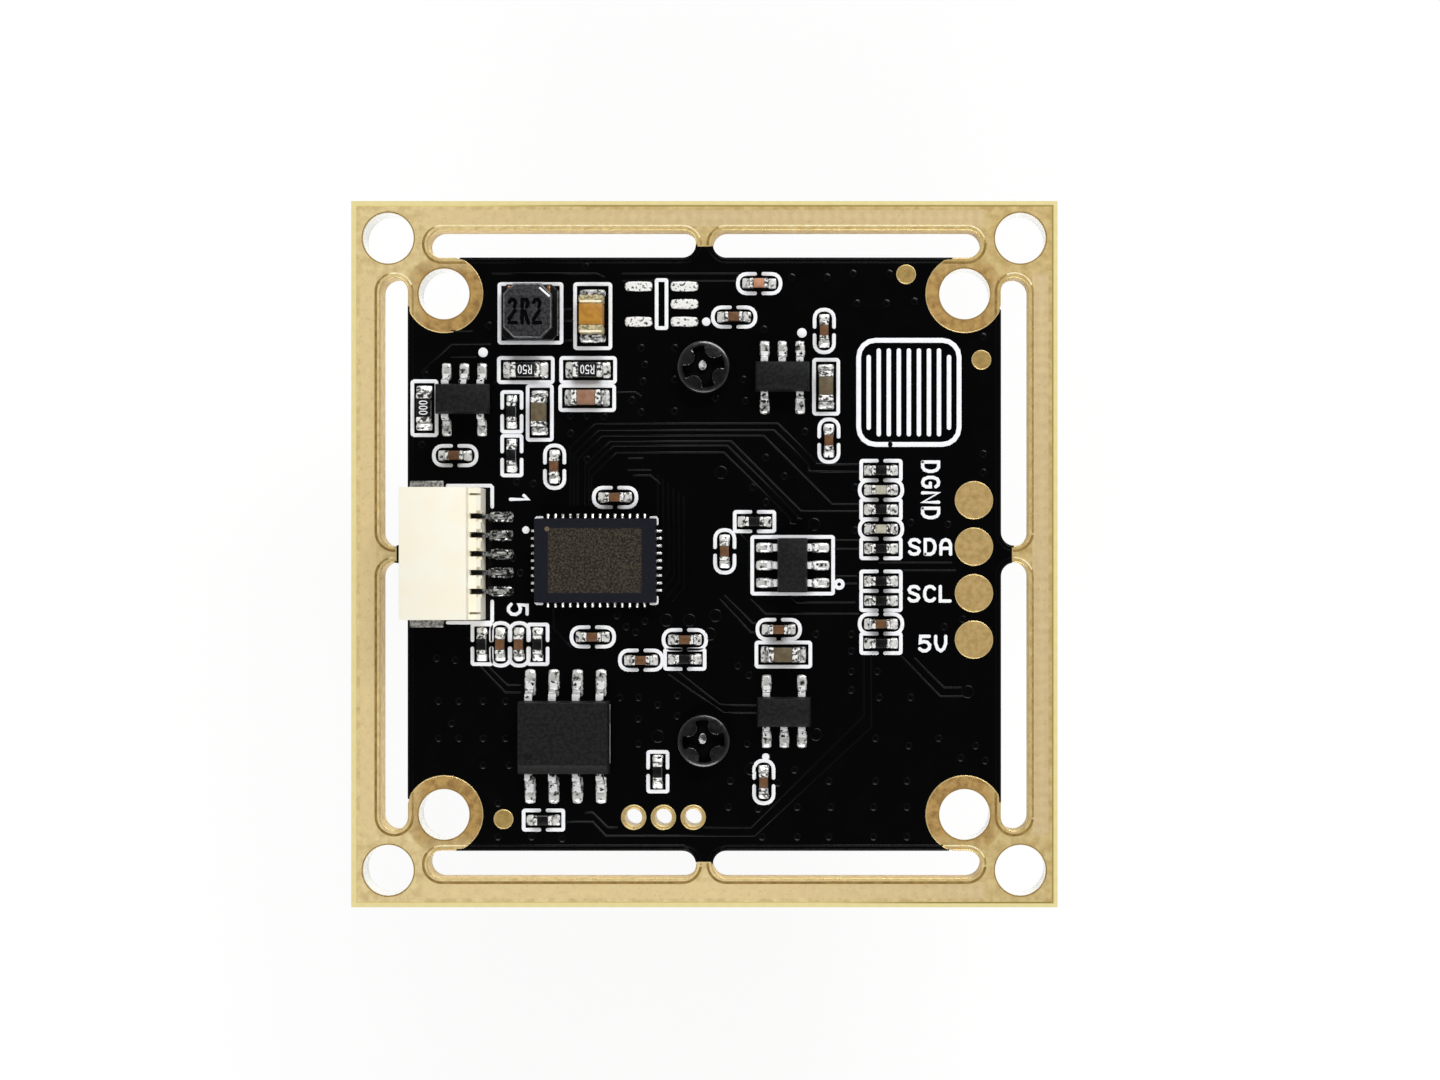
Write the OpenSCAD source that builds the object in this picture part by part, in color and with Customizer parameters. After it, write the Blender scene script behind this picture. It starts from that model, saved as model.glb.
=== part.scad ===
// USB camera module: a square circuit board that carries a bridge chip and its
// parts on one face and a screwed-on lens holder with a fixed lens on the other.
// Millimetres. Z = 0 is the flat rim of the lens, the optical axis is +Z, and
// the component face of the board looks up.

/* [Board] */
// Side of the square board
board_w = 38; // [37:0.5:42]
// Thickness of the finished board
board_t = 1.6; // [1:0.1:2.4]
// Thickness of the gold foil and of the lacquer beside it
foil_t = 0.04; // [0.03:0.01:0.08]
// Width of the frame's rails outside the slots
rail_w = 1.55; // [1.2:0.05:2]
// Width of the routed slots between inner board and frame
slot_w = 1.55; // [1:0.05:1.6]
// How far each slot stops short of the inner board's corner
corner_web = 1; // [0.9:0.1:2.4]
// Width of the narrow tab in the middle of each side
tab_w = 0.8; // [0.6:0.1:1.6]
// Bare laminate left between the frame's gold and the board's edge
edge_bare = 0.3; // [0.1:0.05:0.4]
// How far the lacquer runs over each tab and bridge
lacquer_overlap = 0.65; // [0.2:0.05:1]

/* [Board holes] */
// Diameter of the eight mounting holes
hole_d = 2.75; // [2.2:0.05:2.8]
// Distance of the frame's hole centres from the board's edges
frame_hole_edge = 2; // [1.8:0.1:2.2]
// Distance of the inner hole centres from the inner board's edges
inner_hole_edge = 1.9; // [1.8:0.1:2.1]
// Diameter of the gold ring round each inner hole
ring_d = 4.16; // [3.6:0.02:4.4]
// Diameter of a round test pad
test_pad_d = 2; // [1.5:0.1:2.2]
// Spacing of the test pads
test_pad_pitch = 2.5; // [2.3:0.05:2.6]
// Diameter of the alignment marks
mark_d = 1; // [0.8:0.1:1.2]
// Bore of the plated wire holes
wire_hole_d = 0.95; // [0.7:0.05:1]
// Diameter of the land round each wire hole
wire_land_d = 1.35; // [1.2:0.05:1.45]
// Spacing of the wire holes
wire_pitch = 1.6; // [1.5:0.05:1.8]

/* [Legend] */
// Width of the printed lines
legend_w = 0.2; // [0.12:0.01:0.2]
// Thickness of the printed ink
legend_t = 0.02; // [0.01:0.01:0.04]
// Diameter of the dots that mark a first pin
dot_d = 0.52; // [0.4:0.02:0.6]

/* [Lens holder] */
// Height of the lens holder above the board
holder_h = 9.5; // [8:0.1:12]
// Wall of the holder's round tower outside the lens thread
tower_wall = 1.3; // [0.9:0.1:2]
// How far the flats of the holder's base lie inside the tower
base_inset = 0.1; // [0:0.1:0.4]
// Height of the holder's square base
base_h = 4; // [3.6:0.1:5]
// Spacing of the two fixing screws
screw_pitch = 20; // [19:0.1:21]
// Diameter of the ear round each screw
ear_d = 5.4; // [4.4:0.1:6]
// Side of the square well over the image sensor
well_w = 10.6; // [10:0.1:11.2]
// Depth of the well over the image sensor
well_h = 2.4; // [2.2:0.05:2.8]
// Thickness of the ledge that carries the infrared filter
ledge_t = 0.6; // [0.4:0.05:1]
// Opening in the ledge
ledge_d = 7.4; // [6.6:0.1:8]
// Side of the square infrared filter
filter_w = 9; // [8.6:0.1:9.6]
// Thickness of the infrared filter
filter_t = 0.4; // [0.2:0.05:0.5]

/* [Lens] */
// How far the lens stands out of its holder
lens_proud = 6.9; // [6:0.1:9]
// How far the lens head lies inside the tower's outline
head_inset = 0.3; // [-0.6:0.1:0.6]
// Length of the lens head
head_h = 4; // [3:0.1:4.6]
// Number of grip flutes round the head
flutes = 30; // [12:1:40]
// Outside diameter of the lens thread
thread_d = 12; // [11.9:0.05:12.1]
// Running clearance round the lens thread, on the radius
thread_clearance = 0.04; // [0.02:0.01:0.08]
// Gap between the back of the lens and the filter's ledge
back_gap = 0.2; // [0.1:0.05:0.6]
// Bore that takes the front element
front_bore_d = 10.2; // [9.8:0.1:10.6]
// Bore that takes the other elements
rear_bore_d = 8; // [7.6:0.1:8.4]
// Clear opening at the back of the lens
exit_d = 6.6; // [6:0.1:7]
// Thickness of the lip that holds the rear element
lip_t = 1; // [0.6:0.05:1.4]
// Fit clearance round the glass, on the radius
glass_clearance = 0.02; // [0.01:0.01:0.05]

/* [Lens screws] */
// Diameter of a screw head
screw_head_d = 2.85; // [2.4:0.05:3.2]
// Height of a screw head
screw_head_h = 1; // [0.8:0.05:1.3]
// Diameter of the screw's shank
screw_d = 1.6; // [1.4:0.05:1.8]
// Length of the shank under the head
screw_len = 4.9; // [4.2:0.1:5.2]
// Diameter of the screw holes through the board
screw_hole_d = 2; // [1.95:0.05:2.2]
// Span of the cross recess
cross_span = 2.1; // [1.6:0.05:2.2]
// Width of one arm of the cross recess
cross_w = 0.42; // [0.3:0.02:0.5]

/* [Image sensor and crystal] */
// Side of the sensor's square package
sensor_w = 9.2; // [8.8:0.1:9.6]
// Height of the sensor's package without its glass
sensor_h = 1.05; // [0.9:0.05:1.2]
// Thickness of the sensor's cover glass
sensor_glass_t = 0.4; // [0.3:0.05:0.5]
// Length of the crystal's package
crystal_l = 3.2; // [2.9:0.1:3.4]
// Width of the crystal's package
crystal_w = 2.5; // [2.2:0.1:2.7]

/* [Socket] */
// Number of contacts in the socket
socket_pins = 5; // [3:1:5]
// Spacing of the contacts
socket_pitch = 1; // [0.95:0.01:1.05]
// Depth of the socket from mouth to back
socket_depth = 4.15; // [3.8:0.05:4.3]
// Height of the socket
socket_h = 2.95; // [2.7:0.05:3.2]
// Wall beside the last contact on each side
socket_end = 1.5; // [1.4:0.05:1.6]
// Depth of the low ledge behind the socket's roof
socket_ledge = 0.6; // [0.4:0.05:0.9]
// Height of that ledge
socket_ledge_h = 2.1; // [1.8:0.05:2.3]
// Width of a contact
contact_w = 0.24; // [0.18:0.02:0.3]
// Thickness of a contact
contact_t = 0.25; // [0.2:0.01:0.3]

/* [Chips] */
// Length of the bridge chip
bridge_l = 6.5; // [6.3:0.1:6.7]
// Width of the bridge chip
bridge_w = 4.5; // [4.3:0.1:4.7]
// Height of the bridge chip
bridge_h = 0.85; // [0.7:0.05:1]
// Spacing of the bridge chip's contacts
bridge_pitch = 0.4; // [0.38:0.01:0.41]
// Length of the flash memory's body
flash_l = 4.9; // [4.7:0.05:5.1]
// Width of the flash memory's body
flash_w = 3.9; // [3.7:0.05:4]
// Height of the flash memory's body
flash_h = 1.5; // [1.3:0.05:1.7]
// Spacing of the flash memory's leads
flash_pitch = 1.27; // [1.2:0.01:1.3]
// Length of a small outline chip
sot_l = 2.9; // [2.8:0.05:3]
// Width of a small outline chip's body
sot_w = 1.6; // [1.5:0.05:1.7]
// Height of a small outline chip's body
sot_h = 1.1; // [0.9:0.05:1.2]
// Spacing of a small outline chip's leads
sot_pitch = 0.95; // [0.9:0.01:1]

/* [Inductor] */
// Side of the inductor's base
inductor_w = 3; // [2.8:0.05:3.1]
// Height of the inductor
inductor_h = 1.3; // [1.2:0.05:1.6]
// Thickness of each of its flanges
flange_t = 0.38; // [0.3:0.02:0.45]
// Diameter of the post that the wire is wound on
post_d = 1.3; // [1:0.05:1.5]
// Diameter of the winding
winding_d = 2.5; // [2.1:0.05:2.6]
// Diameter of the wire ends
wire_d = 0.18; // [0.12:0.01:0.2]

/* [Chip parts] */
// Length of the smallest chips
chip_s_l = 1; // [0.95:0.01:1.05]
// Width of the smallest chips
chip_s_w = 0.5; // [0.45:0.01:0.55]
// Length of the middle chips
chip_m_l = 1.6; // [1.5:0.01:1.65]
// Width of the middle chips
chip_m_w = 0.8; // [0.75:0.01:0.85]
// Length of the largest chip
chip_l_l = 2.05; // [1.95:0.01:2.1]
// Width of the largest chip
chip_l_w = 1.3; // [1.2:0.01:1.35]
// Height of a flat resistor chip
resistor_h = 0.38; // [0.3:0.01:0.45]
// Solder that shows past the end of a chip
chip_land = 0.42; // [0.3:0.02:0.46]
// Thickness of tinned pads under parts
pad_t = 0.05; // [0.03:0.01:0.08]

/* [Hidden] */
$fn = 64;

eps = 0.01;

// Stack of heights along the optical axis
front_z = lens_proud + holder_h;
top_z = front_z + board_t;
seat_z = front_z - well_h;
ledge_z = seat_z - ledge_t;
lens_len = ledge_z - back_gap;

// Board plan
inner_w = board_w - 2 * (rail_w + slot_w);
slot_in = inner_w / 2;
slot_reach = slot_in - corner_web;
frame_hole_pitch = board_w - 2 * frame_hole_edge;
inner_hole_pitch = inner_w - 2 * inner_hole_edge;
lacquer_w = inner_w + 2 * lacquer_overlap;

// Placement grid: steps along the inner board's side, a tenth of a millimetre each
grid_steps = 318;
grid = inner_w / grid_steps;

function laid_out(places) = [for (p = places) [p[0] * grid, p[1] * grid, p[2]]];

// Socket, worked out from its mouth at the inner board's edge
socket_w = (socket_pins - 1) * socket_pitch + 2 * socket_end;
socket_mouth = -inner_w / 2;
socket_back = socket_mouth + socket_depth;
socket_roof_back = socket_back - socket_ledge;
socket_wall = 0.55;
socket_floor = 0.6;
socket_rear_wall = 1.1;
cavity_back = socket_back - socket_rear_wall;
ledge_bevel = 0.2;
roof_bevel = 0.1;
pin_z = 1.2;
pin_setback = 0.9;
pin_gap = 0.03;
foot_out = 1.5;
toe_land = 0.35;
socket_pad_w = 0.6;
anchor_l = 1.8;
anchor_h = 1.6;
anchor_t = 0.22;
anchor_out = 0.43;
anchor_foot_t = 0.2;
anchor_setback = 0.1;
notch_w = 0.12;
notch_h = 0.5;
notch_in = 0.35;
// Clear space between the socket's back and the bridge chip
bridge_gap = 2.7;
// Clear space between the upper lens screw and the empty footprint
spare_gap = 0.8;

// Where the parts sit on the component face: x and y in placement steps, and turn
SMALL_CAPACITORS = laid_out([
    [-134, 53, 0], [-80.5, 47, 90], [-48, 30.5, 0], [29.5, 145.5, 0], [16, 127.5, 0],
    [64.5, 120, 90], [67, 61, 90], [11, 1.5, 90], [95, -37.5, 0], [40, -40.5, 0],
    [-10.5, -46, 0], [-34, -57, 0], [-60, -44.5, 0], [-109.5, -48.5, 90],
    [-99.5, -48.5, 90], [32, -122.5, 90],
]);
SMALL_BEADS = laid_out([[95, 34.5, 0], [95, 13.5, 0]]);
SMALL_RESISTORS = laid_out([
    [-103.5, 76.5, 90], [-103.5, 53, 90], [95, 45, 0], [95, 24, 0], [95, 3, 0],
    [95, -14.5, 0], [95, -25, 0], [95, -48, 0], [27, 17.5, 0], [-119.5, -48.5, 90],
    [-89.5, -48.5, 90], [-10.5, -56.5, 0], [-86.5, -143, 0], [-25, -117, 90],
]);
MEDIUM_CAPACITORS = laid_out([[-63, 84, 0], [-88.5, 76, 90], [65.5, 90, 90], [42.5, -54, 0]]);
MEDIUM_RESISTORS = laid_out([[-96, 99, 0], [-62.5, 99, 0], [-150.5, 78.5, 90]]);
LARGE_CAPACITOR = laid_out([[-60, 128, 90]]);
INDUCTOR = laid_out([[-93.5, 129.5, 0]]);
REGULATORS = laid_out([[-129, 83, 0], [42, 95, 0], [43, -84.5, 180]]);
SIX_LEAD = laid_out([[47.5, -6, 90]]);
FLASH = laid_out([[-74.5, -98, 0]]);
BRIDGE = [[socket_back + bridge_gap + bridge_l / 2, -3.5 * grid, 0]];
TEST_PADS = [145 * grid, -8.5 * grid];
MARKS = [[108.5 * grid, 150.5 * grid], [149 * grid, 104.5 * grid], [-108 * grid, -142.5 * grid]];
WIRES = [-22 * grid, -141.5 * grid];
// First-pin dots, with their diameter as a share of the usual dot
PIN_DOTS = laid_out([
    [-119, 108.5, 1], [52.5, 119, 1], [72.5, -16, 1.2], [-96, 13, 0.77], [33, -109, 1],
    [1, 125, 0.88],
]);
// Parts on the lens face, clear of the holder
FRONT_CAPACITORS = laid_out([
    [-112, 31, 90], [-112, 99, 90], [100, 44, 90], [100, 0, 90], [100, -44, 90],
]);
CRYSTAL = laid_out([[-112, 65, 90]]);

// Chip parts: plated ends and the step from the plating down to the ceramic
small_cap_h = chip_s_w;
small_end = 0.22;
medium_cap_h = chip_m_w;
medium_end = 0.32;
large_cap_h = chip_l_w * 0.9;
large_end = 0.45;
end_step = 0.02;
joint_side = 0.05;

// Printed outlines: clear space past the solder and beside the part
legend_clear = 0.13;
legend_side = 0.15;
legend_gap = legend_w * 1.2;

// Holder
tower_d = thread_d + 2 * tower_wall;
base_w = tower_d - 2 * base_inset;
tower_chamfer = 0.4;
gusset_t = 1.2;
gusset_h = 1.6;
boss_spare = 0.3;

// Screws
shank_clearance = 0.02;
shank_point = 0.35;

// Lens: places along the axis, from the front
head_d = tower_d - 2 * head_inset;
head_bevel = 0.3;
rim_w = 0.6;
cone_depth = 1.2;
shoulder_z = 5;
iris_t = 0.6;
iris_d = 4.8;
relief_depth = 0.4;
relief_w = 0.5;
flute_d = 0.9;
flute_out = 0.25;
ring_t = 0.8;
ring_h = 1.2;
ring_z = cone_depth + 0.2;
front_glass_z = ring_z + ring_h;
spacer_t = 1;

// Glass: curvatures, half openings and edge thicknesses
dome_setback = 0.2;
front_r = 9.5;
front_opening = front_bore_d / 2 - ring_t - dome_setback;
hollow_r = 4.2;
hollow_opening = 3;
middle_edge = 1.6;
middle_front_r = 6.5;
middle_front_opening = iris_d / 2 - dome_setback;
middle_back_r = 7;
middle_back_opening = rear_bore_d / 2 - spacer_t - 2 * dome_setback;
rear_edge = 1.8;
rear_front_r = 7;
rear_front_opening = middle_back_opening;
rear_back_r = 9;
rear_back_opening = exit_d / 2 - 2 * dome_setback;
middle_z = shoulder_z + iris_t;
spacer_z = middle_z + middle_edge;
rear_z = lens_len - lip_t - rear_edge;

// Sensor and crystal
sensor_rim = 0.9;
sensor_floor = 0.4;
die_l = 6.2;
die_w = 5.2;
die_t = 0.3;
cover_inset = 0.3;
crystal_base_h = 0.45;
crystal_lid_h = 0.25;
lid_inset = 0.15;

// Moulded chips with gull-wing leads
mould_draft = 0.08;
sot_standoff = 0.08;
sot_exit = 0.6;
sot_lead_t = 0.14;
sot_lead_w = 0.4;
sot_reach = 0.6;
sot_foot = 0.34;
sot_pad_w = 0.55;
sot_pad_l = 0.95;
sot_pad_tip = sot_w / 2 + sot_reach + 0.58;
spare_pad_l = 1.5;
// The empty footprint lies above the upper lens screw
SPARE = [[
    -23 * grid,
    (screw_pitch + screw_head_d + sot_pad_w) / 2 + spare_gap + sot_pitch, 270,
]];
flash_standoff = 0.1;
flash_exit = 0.8;
flash_lead_t = 0.2;
flash_lead_w = 0.42;
flash_reach = 1.05;
flash_foot = 0.6;
flash_bevel = 0.36;
dimple_d = 0.75;
dimple_in = 0.85;
dimple_depth = 0.1;
flash_pad_w = 0.62;
flash_pad_l = 1.5;
flash_pad_tip = flash_w / 2 + flash_reach + 0.62;

// Leadless bridge chip
contact_pad_w = 0.2;
contact_pad_l = 0.35;
contact_pad_h = 0.2;
contact_land = 0.28;
bridge_long = 14;
bridge_short = 9;
heat_pad_inset = 0.8;
field_depth = 0.02;
field_inset = [0.75, 0.52];

// Inductor
terminal_t = 0.1;
terminal_l = 0.8;
terminal_inset = 0.3;
base_cut = 0.3;
flange_inset = [0.2, 0.04];
flange_cut = 0.55;
wire_setback = 0.12;

module on_top(places)
    for (p = places) translate([p[0], p[1], top_z]) rotate(p[2]) children();

module on_front(places)
    for (p = places) translate([p[0], p[1], front_z]) mirror([0, 0, 1]) rotate(p[2]) children();

// ---------------------------------------------------------------- board

// Eight slots, two to a side, with round ends
module slots(grow = 0) {
    r = slot_w / 2;
    for (side = [0:90:270], hand = [-1, 1])
        rotate(side) translate([0, slot_in + r]) {
            for (x = [tab_w / 2 + r, slot_reach - r])
                translate([hand * x, 0]) circle(r + grow);
            translate([hand * (tab_w / 2 + slot_reach) / 2, 0])
                square([slot_reach - tab_w / 2 - slot_w, slot_w + 2 * grow], center = true);
        }
}

module at_corners(pitch)
    for (x = [-pitch / 2, pitch / 2], y = [-pitch / 2, pitch / 2])
        translate([x, y]) children();

module mounting_holes(grow = 0)
    for (pitch = [frame_hole_pitch, inner_hole_pitch])
        at_corners(pitch) circle(d = hole_d + 2 * grow);

module screw_holes()
    for (y = [-screw_pitch / 2, screw_pitch / 2])
        translate([0, y]) circle(d = screw_hole_d);

module wire_holes(d)
    for (i = [-1:1]) translate([WIRES[0] + i * wire_pitch, WIRES[1]]) circle(d = d);

module test_pad_row(d)
    for (i = [0:3])
        translate([TEST_PADS[0], TEST_PADS[1] + (1.5 - i) * test_pad_pitch]) circle(d = d);

module marks(d)
    for (p = MARKS) translate(p) circle(d = d);

// Gold at each corner: a ring round the inner hole and all that lies beyond it
module gold_corners() {
    at_corners(inner_hole_pitch) circle(d = ring_d);
    for (turn = [0:90:270])
        rotate(turn) translate([inner_hole_pitch / 2, inner_hole_pitch / 2]) square(lacquer_w);
}

// Field of lacquer on the inner board and the roots of its tabs
module lacquer_field()
    difference() {
        square(lacquer_w, center = true);
        gold_corners();
    }

module lacquer_face()
    difference() {
        lacquer_field();
        slots(foil_t);
        screw_holes();
        wire_holes(wire_land_d);
    }

module board_core()
    color("#d9cd8c")
        translate([0, 0, front_z + foil_t])
            linear_extrude(board_t - 2 * foil_t) difference() {
                square(board_w, center = true);
                slots(foil_t);
                mounting_holes();
                screw_holes();
                wire_holes(wire_hole_d + 2 * foil_t);
            }

// Gold on both faces of the frame, round the inner holes and down the slot walls
module gold_plating()
    color("#cdb072") translate([0, 0, front_z]) {
        for (z = [0, board_t - foil_t])
            translate([0, 0, z]) linear_extrude(foil_t) difference() {
                square(board_w - 2 * edge_bare, center = true);
                lacquer_field();
                slots();
                mounting_holes();
            }
        linear_extrude(board_t) difference() {
            slots(foil_t);
            slots();
        }
    }

module solder_mask()
    color("#08080a") {
        translate([0, 0, front_z]) linear_extrude(foil_t) lacquer_face();
        translate([0, 0, top_z - foil_t]) linear_extrude(foil_t) difference() {
            lacquer_face();
            test_pad_row(test_pad_d);
            marks(mark_d);
        }
    }

module test_pads()
    color("#cbbf86") translate([0, 0, top_z - foil_t]) linear_extrude(foil_t) test_pad_row(test_pad_d);

module alignment_marks()
    color("#d5c37e") translate([0, 0, top_z - foil_t]) linear_extrude(foil_t) marks(mark_d);

// Plated wire holes: a barrel with a land on each face
module wire_eyelets()
    color("#c9ae62")
        for (i = [-1:1])
            translate([WIRES[0] + i * wire_pitch, WIRES[1], front_z]) rotate_extrude()
                polygon([
                    [wire_hole_d / 2, 0], [wire_land_d / 2, 0], [wire_land_d / 2, foil_t],
                    [wire_hole_d / 2 + foil_t, foil_t],
                    [wire_hole_d / 2 + foil_t, board_t - foil_t],
                    [wire_land_d / 2, board_t - foil_t], [wire_land_d / 2, board_t],
                    [wire_hole_d / 2, board_t],
                ]);

// ---------------------------------------------------------------- legend

// Rectangle with 45 degree corners
module cut_corners(l, w, cut)
    polygon([
        for (s = [[1, 1], [-1, 1], [-1, -1], [1, -1]])
            each s[0] * s[1] > 0
                ? [[s[0] * l / 2, s[1] * (w / 2 - cut)], [s[0] * (l / 2 - cut), s[1] * w / 2]]
                : [[s[0] * (l / 2 - cut), s[1] * w / 2], [s[0] * l / 2, s[1] * (w / 2 - cut)]]
    ]);

// Outline of a capacitor: cut corners, open in the middle of its long sides
module capacitor_outline(l, w) {
    cut = w * 0.27;
    difference() {
        cut_corners(l, w, cut);
        cut_corners(l - 2 * legend_w, w - 2 * legend_w, cut * 0.6);
        square([legend_gap, 2 * w], center = true);
    }
}

module box_outline(l, w, gap = 0)
    difference() {
        square([l, w], center = true);
        square([l - 2 * legend_w, w - 2 * legend_w], center = true);
        if (gap > 0) square([gap, 2 * w], center = true);
    }

module corner_marks(l, w, arm)
    difference() {
        box_outline(l, w);
        square([l - 2 * arm, 2 * w], center = true);
        square([2 * l, w - 2 * arm], center = true);
    }

module printed(places)
    for (p = places) translate([p[0], p[1]]) rotate(p[2]) children();

// Size of the outline round a chip part
function outline_l(l) = l + 2 * (chip_land + legend_clear + legend_w);
function outline_w(w) = w + 2 * (legend_side + legend_w);

// Two brackets behind the socket, open where its contacts pass
module socket_outline() {
    front = socket_mouth + anchor_l + 2 * legend_clear;
    back = socket_back + 2 * legend_side;
    half = socket_w / 2 + legend_clear;
    pins = (socket_pins - 1) / 2 * socket_pitch + socket_pad_w;
    for (hand = [-1, 1]) scale([1, hand]) {
        translate([front, half]) square([back + legend_w - front, legend_w]);
        translate([back, pins]) square([legend_w, half + legend_w - pins]);
    }
}

module top_legend() {
    printed(concat(SMALL_CAPACITORS, SMALL_BEADS))
        capacitor_outline(outline_l(chip_s_l), outline_w(chip_s_w));
    printed(SMALL_RESISTORS) box_outline(outline_l(chip_s_l), outline_w(chip_s_w), legend_gap);
    printed(concat(MEDIUM_CAPACITORS, MEDIUM_RESISTORS))
        box_outline(outline_l(chip_m_l), outline_w(chip_m_w));
    printed(LARGE_CAPACITOR) box_outline(outline_l(chip_l_l), outline_w(chip_l_w));
    printed(INDUCTOR)
        box_outline(inductor_w + 2 * legend_w + legend_clear, inductor_w + 2 * legend_w);
    printed(SIX_LEAD) box_outline(sot_l + 2 * legend_w, 2 * (sot_pad_tip + legend_side + legend_w));
    printed(BRIDGE) corner_marks(bridge_l + 2 * legend_side, bridge_w + 2 * legend_side, bridge_pitch);
    printed(SPARE) box_outline(sot_l - legend_clear, sot_w / 2);
    for (d = PIN_DOTS) translate([d[0], d[1]]) circle(d = dot_d * d[2]);
    socket_outline();
}

module front_legend() {
    printed(FRONT_CAPACITORS) capacitor_outline(outline_l(chip_s_l), outline_w(chip_s_w));
    printed(CRYSTAL) box_outline(crystal_l + 4 * legend_w, crystal_w + 4 * legend_w);
}

module legend()
    color("#eef0f4") {
        translate([0, 0, top_z]) linear_extrude(legend_t) top_legend();
        translate([0, 0, front_z - legend_t]) linear_extrude(legend_t) front_legend();
    }

// ---------------------------------------------------------------- lens side

module holder_plan() {
    square(base_w, center = true);
    for (y = [-screw_pitch / 2, screw_pitch / 2]) {
        translate([0, y]) circle(d = ear_d);
        translate([0, y / 2]) square([ear_d, screw_pitch / 2], center = true);
    }
}

module lens_holder() {
    base_z = front_z - base_h;
    boss_depth = screw_len - board_t + boss_spare;
    color("#161618") difference() {
        union() {
            translate([0, 0, base_z]) linear_extrude(base_h) holder_plan();
            rotate_extrude($fn = 96) polygon([
                [0, lens_proud], [tower_d / 2 - tower_chamfer, lens_proud],
                [tower_d / 2, lens_proud + tower_chamfer], [tower_d / 2, front_z], [0, front_z],
            ]);
            // Gussets from the tower down to the ears
            for (turn = [0, 180]) rotate(turn) translate([-gusset_t / 2, 0, base_z])
                rotate([90, 0, 90]) linear_extrude(gusset_t)
                    polygon([
                        [0, 0], [screw_pitch / 2 + ear_d / 4, 0],
                        [tower_d / 2, -gusset_h], [0, -gusset_h],
                    ]);
        }
        cylinder(d = thread_d, h = ledge_z);
        cylinder(d = ledge_d, h = front_z);
        translate([-well_w / 2, -well_w / 2, seat_z]) cube([well_w, well_w, well_h + eps]);
        for (y = [-screw_pitch / 2, screw_pitch / 2])
            translate([0, y, front_z - boss_depth])
                cylinder(d = screw_d, h = boss_depth + eps);
    }
}

module infrared_filter()
    color("#7fa8c9", 0.6)
        translate([-filter_w / 2, -filter_w / 2, seat_z]) cube([filter_w, filter_w, filter_t]);

// Pan head with a cross recess over a plain shank
module lens_screw() {
    shank_r = screw_d / 2 - shank_clearance;
    head_r = screw_head_d / 2;
    difference() {
        rotate_extrude() polygon([
            [0, -screw_len], [shank_r - shank_point, -screw_len],
            [shank_r, shank_point - screw_len], [shank_r, 0], [head_r, 0],
            [head_r, screw_head_h * 0.45], [head_r * 0.9, screw_head_h * 0.75],
            [head_r * 0.7, screw_head_h * 0.94], [head_r * 0.44, screw_head_h], [0, screw_head_h],
        ]);
        for (turn = [0, 90]) rotate(turn) translate([0, cross_w / 2, 0])
            rotate([90, 0, 0]) linear_extrude(cross_w) polygon([
                [-cross_span / 2, screw_head_h + eps], [-cross_span / 6, screw_head_h * 0.25],
                [cross_span / 6, screw_head_h * 0.25], [cross_span / 2, screw_head_h + eps],
            ]);
    }
}

module lens_screws()
    color("#101012") {
        translate([0, screw_pitch / 2, top_z]) rotate(12) lens_screw();
        translate([0, -screw_pitch / 2, top_z]) lens_screw();
    }

// Threaded barrel with a fluted head, stepped inside for its glass
module lens_barrel() {
    thread_r = thread_d / 2 - thread_clearance;
    neck_r = thread_r - relief_depth;
    color("#141416") difference() {
        rotate_extrude($fn = 96) polygon([
            [front_bore_d / 2 + rim_w, 0], [head_d / 2 - head_bevel, 0], [head_d / 2, head_bevel],
            [head_d / 2, head_h - head_bevel], [head_d / 2 - head_bevel, head_h], [neck_r, head_h],
            [neck_r, head_h + relief_w], [thread_r, head_h + relief_w + relief_depth],
            [thread_r, lens_len - relief_depth], [neck_r, lens_len],
            [exit_d / 2, lens_len], [exit_d / 2, lens_len - lip_t],
            [rear_bore_d / 2, lens_len - lip_t], [rear_bore_d / 2, shoulder_z],
            [front_bore_d / 2, shoulder_z], [front_bore_d / 2, cone_depth],
        ]);
        for (i = [0:flutes - 1]) rotate(i * 360 / flutes)
            translate([head_d / 2 + flute_out, 0, flute_d])
                cylinder(d = flute_d, h = head_h - 2 * flute_d, $fn = 24);
    }
}

// Spherical cap of radius r and half opening a, its flat side on z = 0
module cap(r, a) {
    drop = sqrt(r * r - a * a);
    intersection() {
        translate([0, 0, -drop]) sphere(r);
        cylinder(r = a, h = r);
    }
}

module front_element()
    color("#9fb7d6", 0.5) translate([0, 0, front_glass_z]) difference() {
        union() {
            cylinder(d = front_bore_d - 2 * glass_clearance, h = shoulder_z - front_glass_z);
            mirror([0, 0, 1]) cap(front_r, front_opening);
        }
        translate([0, 0, shoulder_z - front_glass_z + sqrt(hollow_r ^ 2 - hollow_opening ^ 2)])
            sphere(hollow_r);
    }

// Disc with an edge that fits the rear bore and a dome on each side
module double_dome(edge, r1, opening1, r2, opening2) {
    cylinder(d = rear_bore_d - 2 * glass_clearance, h = edge);
    mirror([0, 0, 1]) cap(r1, opening1);
    translate([0, 0, edge]) cap(r2, opening2);
}

module middle_element()
    color("#9fb7d6", 0.5) translate([0, 0, middle_z])
        double_dome(middle_edge, middle_front_r, middle_front_opening, middle_back_r, middle_back_opening);

module rear_element()
    color("#9fb7d6", 0.5) translate([0, 0, rear_z])
        double_dome(rear_edge, rear_front_r, rear_front_opening, rear_back_r, rear_back_opening);

// A flat ring that fits a bore, from z0 to z1
module bore_ring(bore, opening, z0, z1)
    translate([0, 0, z0]) difference() {
        cylinder(d = bore - 2 * glass_clearance, h = z1 - z0);
        translate([0, 0, -eps]) cylinder(d = opening, h = z1 - z0 + 2 * eps);
    }

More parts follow.
